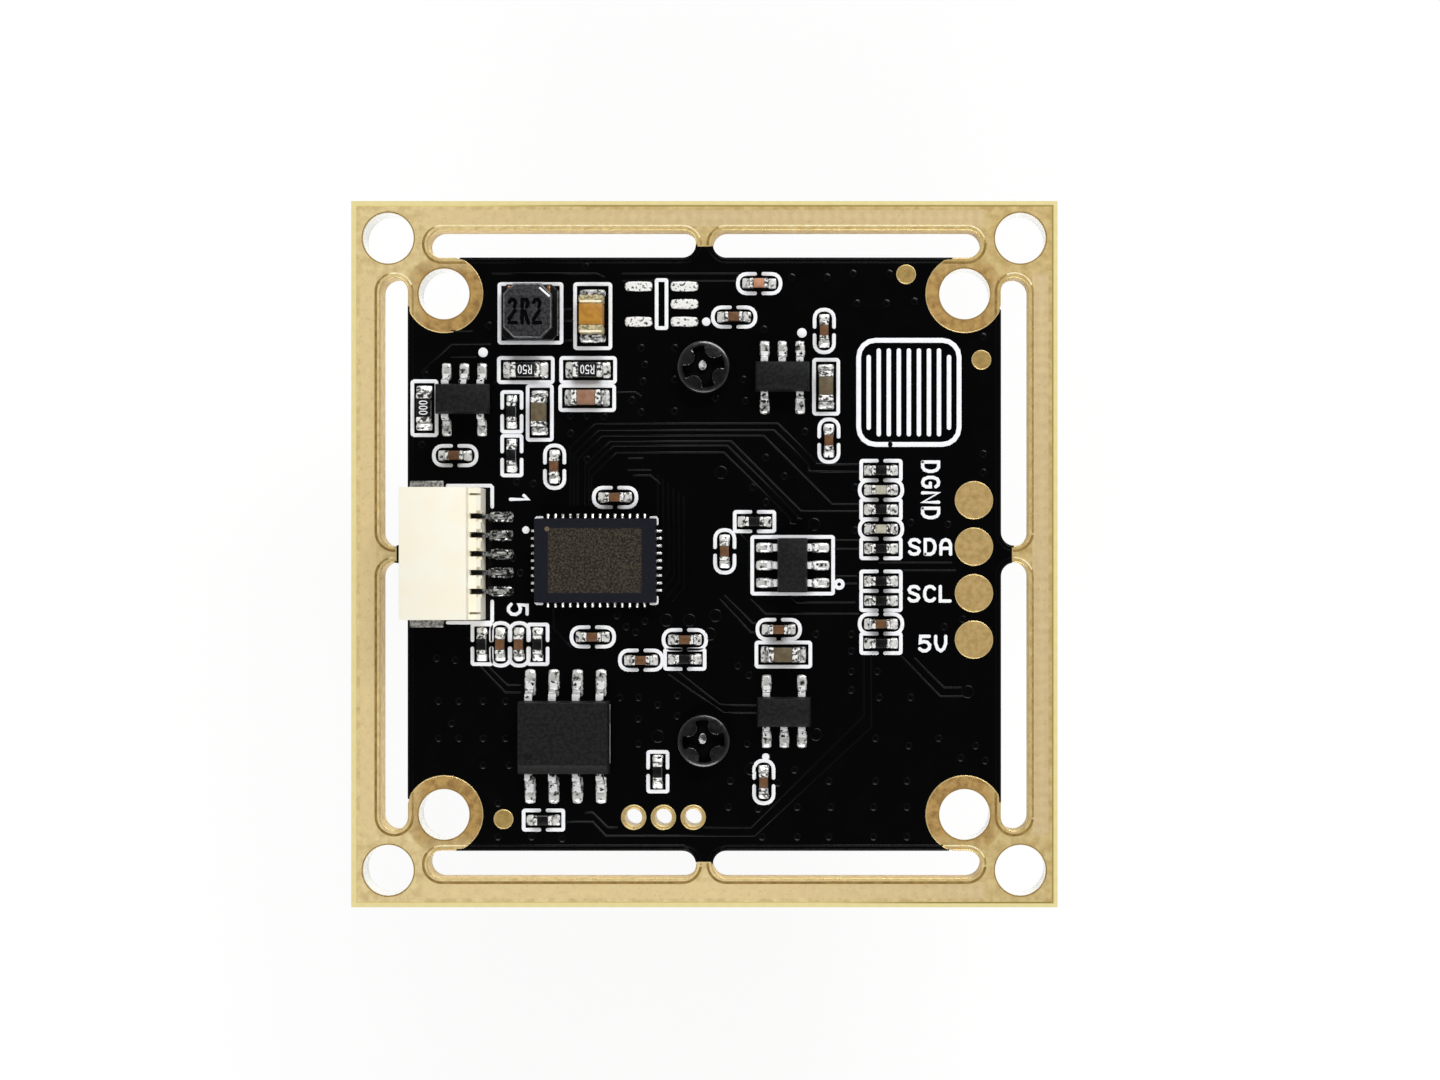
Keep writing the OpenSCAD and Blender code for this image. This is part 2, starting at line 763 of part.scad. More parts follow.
module aperture_ring() color("#0e0e10") bore_ring(rear_bore_d, iris_d, shoulder_z, middle_z);

module lens_spacer()
    color("#1a1a1c") bore_ring(rear_bore_d, rear_bore_d - 2 * spacer_t, spacer_z, rear_z);

module retaining_ring()
    color("#1a1a1c") bore_ring(front_bore_d, front_bore_d - 2 * ring_t, ring_z, front_glass_z);

// ---------------------------------------------------------------- sensor and crystal

module from_front(z) translate([0, 0, front_z - z]) mirror([0, 0, 1]) children();

module block(l, w, h) translate([-l / 2, -w / 2, 0]) cube([l, w, h]);

// Package with a recess for the die
module sensor_package() {
    color("#24262a") from_front(0) difference() {
        block(sensor_w, sensor_w, sensor_h);
        translate([0, 0, sensor_floor])
            block(sensor_w - 2 * sensor_rim, sensor_w - 2 * sensor_rim, sensor_h);
    }
}

module sensor_die() color("#3a4460") from_front(sensor_floor) block(die_l, die_w, die_t);

module sensor_glass()
    color("#c8dbe8", 0.5) from_front(sensor_h)
        block(sensor_w - 2 * cover_inset, sensor_w - 2 * cover_inset, sensor_glass_t);

module crystal_package() color("#b9a98c") on_front(CRYSTAL) block(crystal_l, crystal_w, crystal_base_h);

module crystal_lid()
    color("#c9c9c4") on_front(CRYSTAL) translate([0, 0, crystal_base_h])
        block(crystal_l - 2 * lid_inset, crystal_w - 2 * lid_inset, crystal_lid_h);

// ---------------------------------------------------------------- socket

// Housing seen from the side: full-height roof, then a lower ledge at the back
module socket_section()
    polygon([
        [socket_mouth, pad_t], [socket_back, pad_t], [socket_back, socket_ledge_h - ledge_bevel],
        [socket_back - ledge_bevel, socket_ledge_h], [socket_roof_back, socket_ledge_h],
        [socket_roof_back, socket_h - roof_bevel], [socket_roof_back - roof_bevel, socket_h],
        [socket_mouth, socket_h],
    ]);

module socket_pin_rows()
    for (i = [0:socket_pins - 1])
        translate([0, (i - (socket_pins - 1) / 2) * socket_pitch, 0]) children();

// One contact: blade in the cavity, riser down the back wall, foot on its pad
module contact_shape(grow = 0) {
    tip = socket_mouth + pin_setback;
    toe = socket_back + foot_out - toe_land;
    translate([0, contact_w / 2 + grow, 0]) rotate([90, 0, 0])
        linear_extrude(contact_w + 2 * grow) polygon([
            [tip, pin_z], [socket_back - 0.6 * contact_t, pin_z],
            [socket_back + 0.8 * contact_t, pad_t], [toe, pad_t], [toe, pad_t + contact_t],
            [socket_back + 1.7 * contact_t, pad_t + contact_t],
            [socket_back + 0.4 * contact_t, pin_z + contact_t], [tip, pin_z + contact_t],
        ]);
}

// Slot round one contact, open towards the back and the top of the ledge
module contact_slot() {
    slot_side = contact_w + 2 * pin_gap;
    contact_shape(pin_gap);
    translate([cavity_back - eps, -slot_side / 2, pin_z - pin_gap])
        cube([socket_depth, slot_side, contact_t + 2 * pin_gap]);
    translate([socket_roof_back + pin_gap, -slot_side / 2, pin_z])
        cube([socket_depth, slot_side, socket_h]);
    // Wider mouth that guides the contact in from the back
    translate([socket_back - ledge_bevel, -slot_side, pin_z + contact_t])
        cube([socket_depth, 2 * slot_side, socket_h]);
}

module socket_housing()
    color("#f7f1dc") translate([0, 0, top_z]) difference() {
        translate([0, socket_w / 2, 0]) rotate([90, 0, 0]) linear_extrude(socket_w) socket_section();
        // Cavity that takes the plug
        translate([socket_mouth - eps, socket_wall - socket_w / 2, socket_floor])
            cube([
                cavity_back - socket_mouth + eps, socket_w - 2 * socket_wall,
                socket_h - socket_floor - socket_wall,
            ]);
        socket_pin_rows() contact_slot();
        // Notches at the ends of the rear ledge
        for (hand = [-1, 1])
            translate([
                socket_roof_back + pin_gap, hand * (socket_w / 2 - notch_in) - notch_w / 2,
                socket_ledge_h - notch_h,
            ])
                cube([socket_depth, notch_w, 2 * notch_h]);
        // Pockets for the side anchors
        for (hand = [-1, 1])
            translate([
                socket_mouth + anchor_setback,
                hand * (socket_w / 2 - anchor_t / 2) - anchor_t / 2, -eps,
            ])
                cube([anchor_l, anchor_t, anchor_h + eps]);
    }

module socket_contacts() color("#bdb9a6") translate([0, 0, top_z]) socket_pin_rows() contact_shape();

// Side anchors: an upright plate in the housing and a foot on its pad
module socket_anchors()
    color("#b9b8b0") translate([0, 0, top_z])
        for (hand = [-1, 1]) scale([1, hand, 1])
            translate([socket_mouth + anchor_setback, socket_w / 2 - anchor_t, pad_t]) {
                cube([anchor_l, anchor_t, anchor_h - pad_t]);
                cube([anchor_l, anchor_t + anchor_out, anchor_foot_t]);
            }

// ---------------------------------------------------------------- chips

// Moulded body: drafted above and below a flat band of height t at the leads
module moulded_body(l, w, h, band_z, t)
    intersection() {
        translate([0, w / 2, 0]) rotate([90, 0, 0]) linear_extrude(w) drafted(l, h, band_z, t);
        translate([-l / 2, 0, 0]) rotate([90, 0, 90]) linear_extrude(l) drafted(w, h, band_z, t);
    }

module drafted(l, h, band_z, t) {
    flat = l / 2 - mould_draft;
    polygon([
        [-flat, 0], [flat, 0], [l / 2, band_z - t / 2], [l / 2, band_z + t / 2],
        [flat, h], [-flat, h], [-l / 2, band_z + t / 2], [-l / 2, band_z - t / 2],
    ]);
}

// Gull-wing lead along +Y from a body's side: exit height e, reach r, foot f
module gull_lead(e, r, f, t, w) {
    heel = r - f;
    knee = heel * 0.35;
    translate([-w / 2, 0, 0]) rotate([90, 0, 90]) linear_extrude(w) polygon([
        [0, e - t / 2], [knee, e - t / 2], [heel, 0], [r, 0],
        [r, t], [heel + t * 0.9, t], [knee + t * 0.9, e + t / 2], [0, e + t / 2],
    ]);
}

// Lead positions of one side, at a pitch, about the middle
module lead_row(count, pitch)
    for (i = [0:count - 1]) translate([(i - (count - 1) / 2) * pitch, 0, 0]) children();

module sot_body()
    translate([0, 0, pad_t + sot_standoff])
        moulded_body(sot_l, sot_w, sot_h, sot_exit - sot_standoff, sot_lead_t);

module sot_lead()
    translate([0, sot_w / 2, pad_t]) gull_lead(sot_exit, sot_reach, sot_foot, sot_lead_t, sot_lead_w);

// A five-lead outline has three leads on one side and its outer two on the other
module five_leads() {
    lead_row(3, sot_pitch) children();
    rotate(180) lead_row(2, 2 * sot_pitch) children();
}

module six_leads()
    for (turn = [0, 180]) rotate(turn) lead_row(3, sot_pitch) children();

module regulator_chips() color("#1d1d22") on_top(REGULATORS) sot_body();

module regulator_leads() color("#b9bbbf") on_top(REGULATORS) five_leads() sot_lead();

module six_lead_chip() color("#1d1d22") on_top(SIX_LEAD) sot_body();

module six_lead_leads() color("#b9bbbf") on_top(SIX_LEAD) six_leads() sot_lead();

module flash_chip()
    color("#202022") on_top(FLASH) translate([0, 0, pad_t + flash_standoff]) difference() {
        moulded_body(flash_l, flash_w, flash_h, flash_exit - flash_standoff, flash_lead_t);
        // Bevel along the first-pin edge
        translate([-flash_l, -flash_w / 2, flash_h]) rotate([45, 0, 0])
            translate([0, -flash_bevel / 2, -flash_bevel / 2])
                cube([2 * flash_l, flash_bevel, flash_bevel]);
        translate([dimple_in - flash_l / 2, dimple_in - flash_w / 2, flash_h - dimple_depth])
            cylinder(d = dimple_d, h = flash_h);
    }

module flash_rows()
    for (turn = [0, 180]) rotate(turn) lead_row(4, flash_pitch) children();

module flash_leads()
    color("#b9bbbf") on_top(FLASH) flash_rows() translate([0, flash_w / 2, pad_t])
        gull_lead(flash_exit, flash_reach, flash_foot, flash_lead_t, flash_lead_w);

module bridge_rows() {
    for (turn = [0, 180]) rotate(turn)
        lead_row(bridge_long, bridge_pitch) translate([0, bridge_w / 2, 0]) children();
    for (turn = [90, 270]) rotate(turn)
        lead_row(bridge_short, bridge_pitch) translate([0, bridge_l / 2, 0]) children();
}

module bridge_contact()
    translate([-contact_pad_w / 2, -contact_pad_l, 0]) cube([contact_pad_w, contact_pad_l, contact_pad_h]);

module bridge_heat_pad(t)
    block(bridge_l - 2 * heat_pad_inset, bridge_w - 2 * heat_pad_inset, t);

module bridge_chip()
    color("#1c1c27") on_top(BRIDGE) translate([0, 0, pad_t]) difference() {
        block(bridge_l, bridge_w, bridge_h);
        bridge_rows() bridge_contact();
        bridge_heat_pad(contact_pad_h);
        // Shallow field where the top was ground
        translate([0, 0, bridge_h - field_depth])
            block(bridge_l - 2 * field_inset[0], bridge_w - 2 * field_inset[1], bridge_h);
    }

module bridge_contacts()
    color("#c4c6c8") on_top(BRIDGE) translate([0, 0, pad_t]) {
        bridge_rows() bridge_contact();
        bridge_heat_pad(contact_pad_h);
    }

// ---------------------------------------------------------------- inductor

// Square base, round post and an eight-sided top flange
module inductor_core()
    color("#3d3d40") on_top(INDUCTOR) translate([0, 0, pad_t + terminal_t]) {
        linear_extrude(flange_t) cut_corners(inductor_w, inductor_w, base_cut);
        cylinder(d = post_d, h = inductor_h - terminal_t);
        translate([0, 0, inductor_h - terminal_t - flange_t]) linear_extrude(flange_t)
            cut_corners(inductor_w - 2 * flange_inset[0], inductor_w - 2 * flange_inset[1], flange_cut);
    }

module inductor_winding() {
    low = pad_t + terminal_t + flange_t;
    high = pad_t + inductor_h - flange_t;
    color("#b87040") on_top(INDUCTOR) {
        translate([0, 0, low]) difference() {
            cylinder(d = winding_d, h = high - low);
            translate([0, 0, -eps]) cylinder(d = post_d, h = high - low + 2 * eps);
        }
        // Wire ends leave the winding at mid height and run out to the base's edge
        for (x = [-1, 1])
            translate([x * (winding_d / 2 - wire_d), winding_d / 6, (low + high) / 2])
                rotate([-90, 0, 0])
                    cylinder(d = wire_d, h = inductor_w / 2 - winding_d / 6 - wire_setback);
    }
}

module terminal_plates(t)
    for (x = [-1, 1]) translate([x * (inductor_w - terminal_l) / 2, 0, 0])
        block(terminal_l, inductor_w - 2 * terminal_inset, t);

module inductor_terminals()
    color("#c4c6c8") on_top(INDUCTOR) translate([0, 0, pad_t]) terminal_plates(terminal_t);

// ---------------------------------------------------------------- chip parts

module chip_body(l, w, h, end)
    translate([0, 0, pad_t + end_step]) block(l - 2 * end, w - 2 * end_step, h - 2 * end_step);

module chip_ends(l, w, h, end)
    for (turn = [0, 180]) rotate(turn)
        translate([l / 2 - end, -w / 2, pad_t]) cube([end, w, h]);

// Solder under and up each end of a chip, with a hollow slope
module chip_joints(l, w, h, end)
    for (turn = [0, 180]) rotate(turn)
        translate([l / 2, w / 2 + joint_side, 0]) rotate([90, 0, 0])
            linear_extrude(w + 2 * joint_side) polygon([
                [-end, 0], [chip_land, 0], [chip_land, pad_t], [chip_land * 0.55, pad_t + h * 0.16],
                [chip_land * 0.2, pad_t + h * 0.42], [0, pad_t + h * 0.75], [0, pad_t], [-end, pad_t],
            ]);

// Tinned pad under a lead, with a small fillet at the toe
module lead_joint(tip, l, w, toe, t)
    translate([-w / 2, 0, 0]) rotate([90, 0, 90]) linear_extrude(w) polygon([
        [tip - l, 0], [tip, 0], [tip, pad_t], [toe + (tip - toe) * 0.4, pad_t + t * 0.35],
        [toe, pad_t + t * 0.8], [toe, pad_t], [tip - l, pad_t],
    ]);

module small_capacitors()
    color("#8a5a30") {
        on_top(SMALL_CAPACITORS) chip_body(chip_s_l, chip_s_w, small_cap_h, small_end);
        on_front(FRONT_CAPACITORS) chip_body(chip_s_l, chip_s_w, small_cap_h, small_end);
    }

module small_beads()
    color("#bdb8a4") on_top(SMALL_BEADS) chip_body(chip_s_l, chip_s_w, small_cap_h, small_end);

module small_resistors()
    color("#19191b") on_top(SMALL_RESISTORS) chip_body(chip_s_l, chip_s_w, resistor_h, small_end);

module small_terminals()
    color("#c9cbcd") {
        on_top(concat(SMALL_CAPACITORS, SMALL_BEADS)) chip_ends(chip_s_l, chip_s_w, small_cap_h, small_end);
        on_top(SMALL_RESISTORS) chip_ends(chip_s_l, chip_s_w, resistor_h, small_end);
        on_front(FRONT_CAPACITORS) chip_ends(chip_s_l, chip_s_w, small_cap_h, small_end);
    }

module medium_capacitors()
    color("#9a7f5c") on_top(MEDIUM_CAPACITORS) chip_body(chip_m_l, chip_m_w, medium_cap_h, medium_end);

module medium_resistors()
    color("#19191b") on_top(MEDIUM_RESISTORS) chip_body(chip_m_l, chip_m_w, resistor_h, medium_end);

module medium_terminals()
    color("#c9cbcd") {
        on_top(MEDIUM_CAPACITORS) chip_ends(chip_m_l, chip_m_w, medium_cap_h, medium_end);
        on_top(MEDIUM_RESISTORS) chip_ends(chip_m_l, chip_m_w, resistor_h, medium_end);
    }

module large_capacitor()
    color("#c8913a") on_top(LARGE_CAPACITOR) chip_body(chip_l_l, chip_l_w, large_cap_h, large_end);

module large_terminals()
    color("#c9cbcd") on_top(LARGE_CAPACITOR) chip_ends(chip_l_l, chip_l_w, large_cap_h, large_end);

module chip_solder()
    color("#d4d5d6") {
        on_top(concat(SMALL_CAPACITORS, SMALL_BEADS))
            chip_joints(chip_s_l, chip_s_w, small_cap_h, small_end);
        on_top(SMALL_RESISTORS) chip_joints(chip_s_l, chip_s_w, resistor_h, small_end);
        on_front(FRONT_CAPACITORS) chip_joints(chip_s_l, chip_s_w, small_cap_h, small_end);
        on_top(MEDIUM_CAPACITORS) chip_joints(chip_m_l, chip_m_w, medium_cap_h, medium_end);
        on_top(MEDIUM_RESISTORS) chip_joints(chip_m_l, chip_m_w, resistor_h, medium_end);
        on_top(LARGE_CAPACITOR) chip_joints(chip_l_l, chip_l_w, large_cap_h, large_end);
    }

module spare_pads()
    color("#d4d5d6") on_top(SPARE) five_leads()
        translate([-sot_pad_w / 2, sot_pad_tip - spare_pad_l, 0]) cube([sot_pad_w, spare_pad_l, pad_t]);

module sot_joint()
    lead_joint(sot_pad_tip, sot_pad_l, sot_pad_w, sot_w / 2 + sot_reach, sot_lead_t);

module flash_joint()
    lead_joint(flash_pad_tip, flash_pad_l, flash_pad_w, flash_w / 2 + flash_reach, flash_lead_t);

module bridge_joint()
    lead_joint(contact_land, contact_land + contact_pad_l, contact_pad_w, 0, contact_pad_h);

// Pads under the socket's feet and its side anchors
module socket_joints() {
    socket_pin_rows() rotate(-90) translate([0, socket_back, 0])
        lead_joint(foot_out, foot_out - anchor_setback, socket_pad_w, foot_out - toe_land, contact_t);
    for (hand = [-1, 1]) scale([1, hand, 1])
        translate([socket_mouth + anchor_setback, socket_w / 2 - anchor_t, 0])
            cube([anchor_l, anchor_t + anchor_out, pad_t]);
}

module lead_solder()
    color("#d4d5d6") {
        on_top(REGULATORS) five_leads() sot_joint();
        on_top(SIX_LEAD) six_leads() sot_joint();
        on_top(FLASH) flash_rows() flash_joint();
        on_top(BRIDGE) bridge_rows() bridge_joint();
        on_top(BRIDGE) bridge_heat_pad(pad_t);
        on_top(INDUCTOR) terminal_plates(pad_t);
        translate([0, 0, top_z]) socket_joints();
    }

board_core();
gold_plating();
solder_mask();
legend();
test_pads();
alignment_marks();
wire_eyelets();
spare_pads();
lens_holder();
infrared_filter();
lens_screws();
lens_barrel();
front_element();
middle_element();
rear_element();
aperture_ring();
lens_spacer();
retaining_ring();
sensor_package();
sensor_die();
sensor_glass();
crystal_package();
crystal_lid();
socket_housing();
socket_contacts();
socket_anchors();
bridge_chip();
bridge_contacts();
flash_chip();
flash_leads();
regulator_chips();
regulator_leads();
six_lead_chip();
six_lead_leads();
inductor_core();
inductor_winding();
inductor_terminals();
small_capacitors();
small_beads();
small_resistors();
small_terminals();
medium_capacitors();
medium_resistors();
medium_terminals();
large_capacitor();
large_terminals();
chip_solder();
lead_solder();
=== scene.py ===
"""Looks of the camera module: finishes, print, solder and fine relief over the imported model.

Lengths are in millimetres, and MM turns them into Blender's metres. On the component face X runs
to the right and Y up.
"""
import math

import bmesh
import bpy
import numpy as np
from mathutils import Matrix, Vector

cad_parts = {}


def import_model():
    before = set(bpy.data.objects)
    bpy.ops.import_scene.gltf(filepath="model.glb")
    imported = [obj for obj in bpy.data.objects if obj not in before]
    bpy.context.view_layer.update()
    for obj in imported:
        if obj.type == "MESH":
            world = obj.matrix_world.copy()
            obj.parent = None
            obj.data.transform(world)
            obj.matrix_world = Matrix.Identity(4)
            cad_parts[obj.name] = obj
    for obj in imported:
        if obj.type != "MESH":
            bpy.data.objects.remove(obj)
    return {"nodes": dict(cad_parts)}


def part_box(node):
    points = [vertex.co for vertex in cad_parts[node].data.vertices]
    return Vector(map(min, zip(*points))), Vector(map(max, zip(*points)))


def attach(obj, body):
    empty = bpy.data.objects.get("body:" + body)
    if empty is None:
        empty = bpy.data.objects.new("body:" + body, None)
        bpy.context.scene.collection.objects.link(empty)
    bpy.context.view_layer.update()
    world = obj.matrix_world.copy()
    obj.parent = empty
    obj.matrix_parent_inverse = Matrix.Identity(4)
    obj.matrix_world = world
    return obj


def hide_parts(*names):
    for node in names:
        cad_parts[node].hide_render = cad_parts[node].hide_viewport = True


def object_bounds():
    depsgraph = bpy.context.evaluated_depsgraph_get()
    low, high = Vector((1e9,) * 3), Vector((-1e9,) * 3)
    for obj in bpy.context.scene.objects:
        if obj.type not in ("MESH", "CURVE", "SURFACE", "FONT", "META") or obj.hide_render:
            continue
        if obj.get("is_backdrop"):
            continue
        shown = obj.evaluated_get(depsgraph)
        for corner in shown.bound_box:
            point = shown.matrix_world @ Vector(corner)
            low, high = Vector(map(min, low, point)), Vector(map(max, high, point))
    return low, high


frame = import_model()
CAD_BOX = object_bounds()

MM = 0.001
NODES = frame["nodes"]
BODY = "root"
FRONT, TOP = (corner.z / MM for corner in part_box("solder_mask"))
GOLD_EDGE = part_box("gold_plating")[1].x / MM
CIRCLE = 2 * math.pi

# Plan of the routed frame, with the sizes that the CAD source gives it
SLOT_IN = 15.9
SLOT_W = 1.55
SLOT_REACH = 14.9
TAB = 0.4
LACQUER = 16.55
FRAME_HOLE = 17.0
INNER_HOLE = 14.0
HOLE_R = 1.375
RING_R = 2.08


def box_mm(node):
    """Lowest and highest corner of a CAD node, in millimetres."""
    return [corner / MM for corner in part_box(node)]


def middle_of(node):
    """Middle of a CAD node, seen from above."""
    low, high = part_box(node)
    return ((low + high) / 2 / MM)[:2]


# ---- finishes

def srgb(red, green, blue):
    """Linear colour of an sRGB colour written from 0 to 255."""
    def linear(value):
        value /= 255
        return value / 12.92 if value <= 0.04045 else ((value + 0.055) / 1.055) ** 2.4
    return (linear(red), linear(green), linear(blue), 1)


class Look:
    """Node tree of a material or of the room, with helpers for its procedural detail."""

    def __init__(self, block, shader, place, **sockets):
        block.use_nodes = True
        self.tree = block.node_tree
        self.shader = self.tree.nodes[shader]
        self.place = self.node("ShaderNodeTexCoord").outputs[place]
        for socket, value in sockets.items():
            self.shader.inputs[socket.replace("_", " ")].default_value = value

    def node(self, kind, **values):
        node = self.tree.nodes.new(kind)
        for key, value in values.items():
            if key in node.inputs:
                node.inputs[key].default_value = value
            else:
                setattr(node, key, value)
        return node

    def link(self, source, target):
        self.tree.links.new(source, target)

    def set(self, socket, source):
        self.link(source, self.shader.inputs[socket])

    def axes(self, source=None):
        """X, Y and Z of a vector, which is the place on the object unless one is given."""
        split = self.node("ShaderNodeSeparateXYZ")
        self.link(source or self.place, split.inputs[0])
        return split.outputs

    def noise(self, size, detail=3.0, stretch=(1, 1, 1), offset=0.0):
        """Noise whose patches are about size millimetres across."""
        mapping = self.node("ShaderNodeMapping", Location=(offset,) * 3, Scale=stretch)
        noise = self.node("ShaderNodeTexNoise", Scale=1 / (size * MM), Detail=detail)
        self.link(self.place, mapping.inputs["Vector"])
        self.link(mapping.outputs["Vector"], noise.inputs["Vector"])
        return noise.outputs["Fac"]

    def wave(self, axis, pitch):
        """Soft bands across one axis, pitch millimetres apart."""
        blender_rate = 20
        bands = self.node("ShaderNodeTexWave", wave_type="BANDS", bands_direction=axis,
                          Scale=CIRCLE / (blender_rate * pitch * MM), Distortion=0.6, Detail=1.0)
        self.link(self.place, bands.inputs["Vector"])
        return bands.outputs["Fac"]

    def weave(self, pitch):
        """Bands across X and Y together, from 0 to 2."""
        return self.math("ADD", self.wave("X", pitch), self.wave("Y", pitch))

    def spread(self, source, low, high, to_low=0.0, to_high=1.0):
        """Maps low..high of a source to another range."""
        change = self.node("ShaderNodeMapRange")
        for key, value in (("From Min", low), ("From Max", high), ("To Min", to_low), ("To Max", to_high)):
            change.inputs[key].default_value = value
        self.link(source, change.inputs["Value"])
        return change.outputs["Result"]

    def math(self, operation, first, second=0.0):
        node = self.node("ShaderNodeMath", operation=operation)
        for socket, value in zip(node.inputs, (first, second)):
            if isinstance(value, (int, float)):
                socket.default_value = value
            else:
                self.link(value, socket)
        return node.outputs[0]

    def away(self, source, middle=0.0):
        """How far a value is from a middle."""
        return self.math("ABSOLUTE", self.math("SUBTRACT", source, middle))

    def far_side(self, low, high):
        """Share that rises from 0 at the lower left to 1 at the upper right of the face."""
        x, y, _ = self.axes()
        return self.spread(self.math("ADD", x, self.math("MULTIPLY", y, 0.5)), low * MM, high * MM)

    def mix(self, factor, first, second):
        """Blend of two colours, each a socket or an sRGB colour written from 0 to 255."""
        node = self.node("ShaderNodeMix", data_type="RGBA")
        factor_in, *colours_in, colour_out = node.inputs[0], *node.inputs[6:8], node.outputs[2]
        for socket, value in zip(colours_in, (first, second)):
            if isinstance(value, tuple):
                socket.default_value = srgb(*value)
            else:
                self.link(value, socket)
        self.link(factor, factor_in)
        return colour_out

    def seen(self, kind, other=None):
        """1 for rays of one kind, or of either of two kinds."""
        path = self.node("ShaderNodeLightPath").outputs
        found = path[f"Is {kind} Ray"]
        return self.math("MAXIMUM", found, path[f"Is {other} Ray"]) if other else found

    def drift(self, patch, low, high, offset=0.0):
        """A value that drifts from low to high in patches."""
        return self.spread(self.noise(patch, offset=offset), 0.3, 0.7, low, high)

    def made(self, colour, rough=None, grain=None, relief=0.003, strength=1.0, **noise):
        """The finish with its colour, its roughness, and relief (mm) in grains of a size (mm)."""
        self.set("Base Color", colour)
        if rough:
            self.set("Roughness", self.drift(*rough) if isinstance(rough, tuple) else rough)
        if grain:
            bump = self.node("ShaderNodeBump", Strength=strength, Distance=relief * MM)
            self.link(self.noise(grain, **noise), bump.inputs["Height"])
            self.set("Normal", bump.outputs["Normal"])
        return self


class Finish(Look):
    """A material on the Principled shader."""

    def __init__(self, name, **sockets):
        self.name = name
        self.material = bpy.data.materials.new(name)
        super().__init__(self.material, "Principled BSDF", "Object", **sockets)


def mottled(name, colour, other, patch, rough, grain=0.05, relief=0.003, specular=0.5, metallic=0.0):
    """Finish that drifts between two colours in patches, with a fine grain of its own depth."""
    look = Finish(name, Specular_IOR_Level=specular, Metallic=metallic)
    blend = look.mix(look.spread(look.noise(patch), 0.4, 0.6), colour, other)
    return look.made(blend, (patch * 0.7, *rough, 3.0), grain, relief, detail=2.0)


def lacquer_finish():
    """Black solder mask: nearly black, glossy, with a faint orange peel."""
    look = Finish("lacquer", Specular_IOR_Level=0.16)
    colour = look.mix(look.noise(1.5), (3, 3, 4), (6, 6, 7))
    return look.made(colour, (0.8, 0.14, 0.22), 0.35, 0.001, detail=1.0)


def gold_finish():
    """Immersion gold on copper: champagne rails, yellower at their edges, and browner rings; the rails are
    painted paler towards the lower left and darker towards the upper right as light and shade.
    """
    look = Finish("gold", Metallic=0.35, Specular_IOR_Level=0.4)
    x, y = (look.away(axis) for axis in look.axes()[:2])
    reach, side = look.math("MAXIMUM", x, y), look.math("MINIMUM", x, y)
    middle = (SLOT_IN + SLOT_W + GOLD_EDGE) / 2 * MM
    half = (GOLD_EDGE - SLOT_IN - SLOT_W) / 2 * MM
    rail = look.spread(look.away(reach, middle), half - 0.16 * MM, half - 0.22 * MM)
    rail = look.math("MULTIPLY", rail, look.spread(side, (SLOT_REACH + 0.4) * MM, SLOT_REACH * MM))
    place = look.node("ShaderNodeCombineXYZ")
    look.link(x, place.inputs[0])
    look.link(y, place.inputs[1])
    from_ring = look.node("ShaderNodeVectorMath", operation="DISTANCE")
    look.link(place.outputs[0], from_ring.inputs[0])
    from_ring.inputs[1].default_value = (INNER_HOLE * MM, INNER_HOLE * MM, 0)
    ring = look.spread(from_ring.outputs["Value"], (RING_R + 0.1) * MM, (RING_R - 0.02) * MM)
    ring = look.math("MULTIPLY", ring, look.spread(reach, (SLOT_IN + 0.3) * MM, (SLOT_IN - 0.9) * MM))
    champagne = look.mix(look.spread(look.weave(0.55), 0.4, 1.6), (229, 205, 156), (223, 197, 147))
    # Painted light: the rails paler towards the lower left.
    champagne = look.mix(look.far_side(-8, 9), (243, 218, 161), champagne)
    stains = look.spread(look.noise(0.5, detail=6.0), 0.38, 0.62)
    # Painted light and shade: rail edges paler at the lower left, darker at the upper right.
    lit_edge_gold, shaded_edge_gold = ((246, 224, 166), (226, 200, 142)), ((224, 199, 138), (202, 174, 112))
    edge = look.mix(look.far_side(-6, 12), look.mix(stains, *lit_edge_gold), look.mix(stains, *shaded_edge_gold))
    wear = look.spread(look.noise(0.35, detail=6.0), 0.38, 0.66)
    worn = look.mix(wear, (202, 164, 98), (160, 124, 70))
    colour = look.mix(ring, look.mix(rail, edge, champagne), worn)
    pits = look.spread(look.noise(0.14, detail=4.0), 0.58, 0.75, 0.0, 0.35)
    return look.made(look.mix(pits, colour, (178, 144, 88)), (0.4, 0.42, 0.55), 0.12)


def pad_finish(name, light, dark):
    """Gold of the small round pads: browner, with a slight grain."""
    look = Finish(name, Metallic=0.4, Specular_IOR_Level=0.4)
    cloud = look.spread(look.noise(0.3, detail=5.0), 0.4, 0.64)
    return look.made(look.mix(cloud, light, dark), (0.4, 0.4, 0.52), 0.1)


def rim_finish():
    """Polished gold of the rounded edges."""
    look = Finish("rim", Metallic=0.55)
    return look.made(look.mix(look.noise(0.5), (244, 224, 164), (214, 180, 110)), (0.3, 0.24, 0.4))


def laminate_finish():
    """Glass-cloth laminate: pale yellow, with its weave, and beside the gold a strip painted pale towards the
    lower left as highlight and olive towards the upper right as shade.
    """
    look = Finish("laminate", Specular_IOR_Level=0.4)
    reach = look.math("MAXIMUM", *(look.away(axis) for axis in look.axes()[:2]))
    near_gold = look.spread(reach, (GOLD_EDGE + 0.05) * MM, (GOLD_EDGE + 0.12) * MM)
    cloth = look.mix(look.spread(look.weave(0.9), 0.2, 1.8), (233, 219, 158), (229, 213, 148))
    plies = look.spread(look.wave("Z", 0.2), 0.5, 0.9, 0.0, 0.5)
    # Painted light and shade beside the gold: pale at the lower left, olive at the upper right.
    painted_edge_light = look.mix(look.far_side(-3, 3), (236, 218, 150), (162, 140, 62))
    colour = look.mix(near_gold, painted_edge_light, look.mix(plies, cloth, (212, 196, 126)))
    return look.made(colour, (0.2, 0.45, 0.7), 0.1, 0.01, stretch=(1, 1, 6))


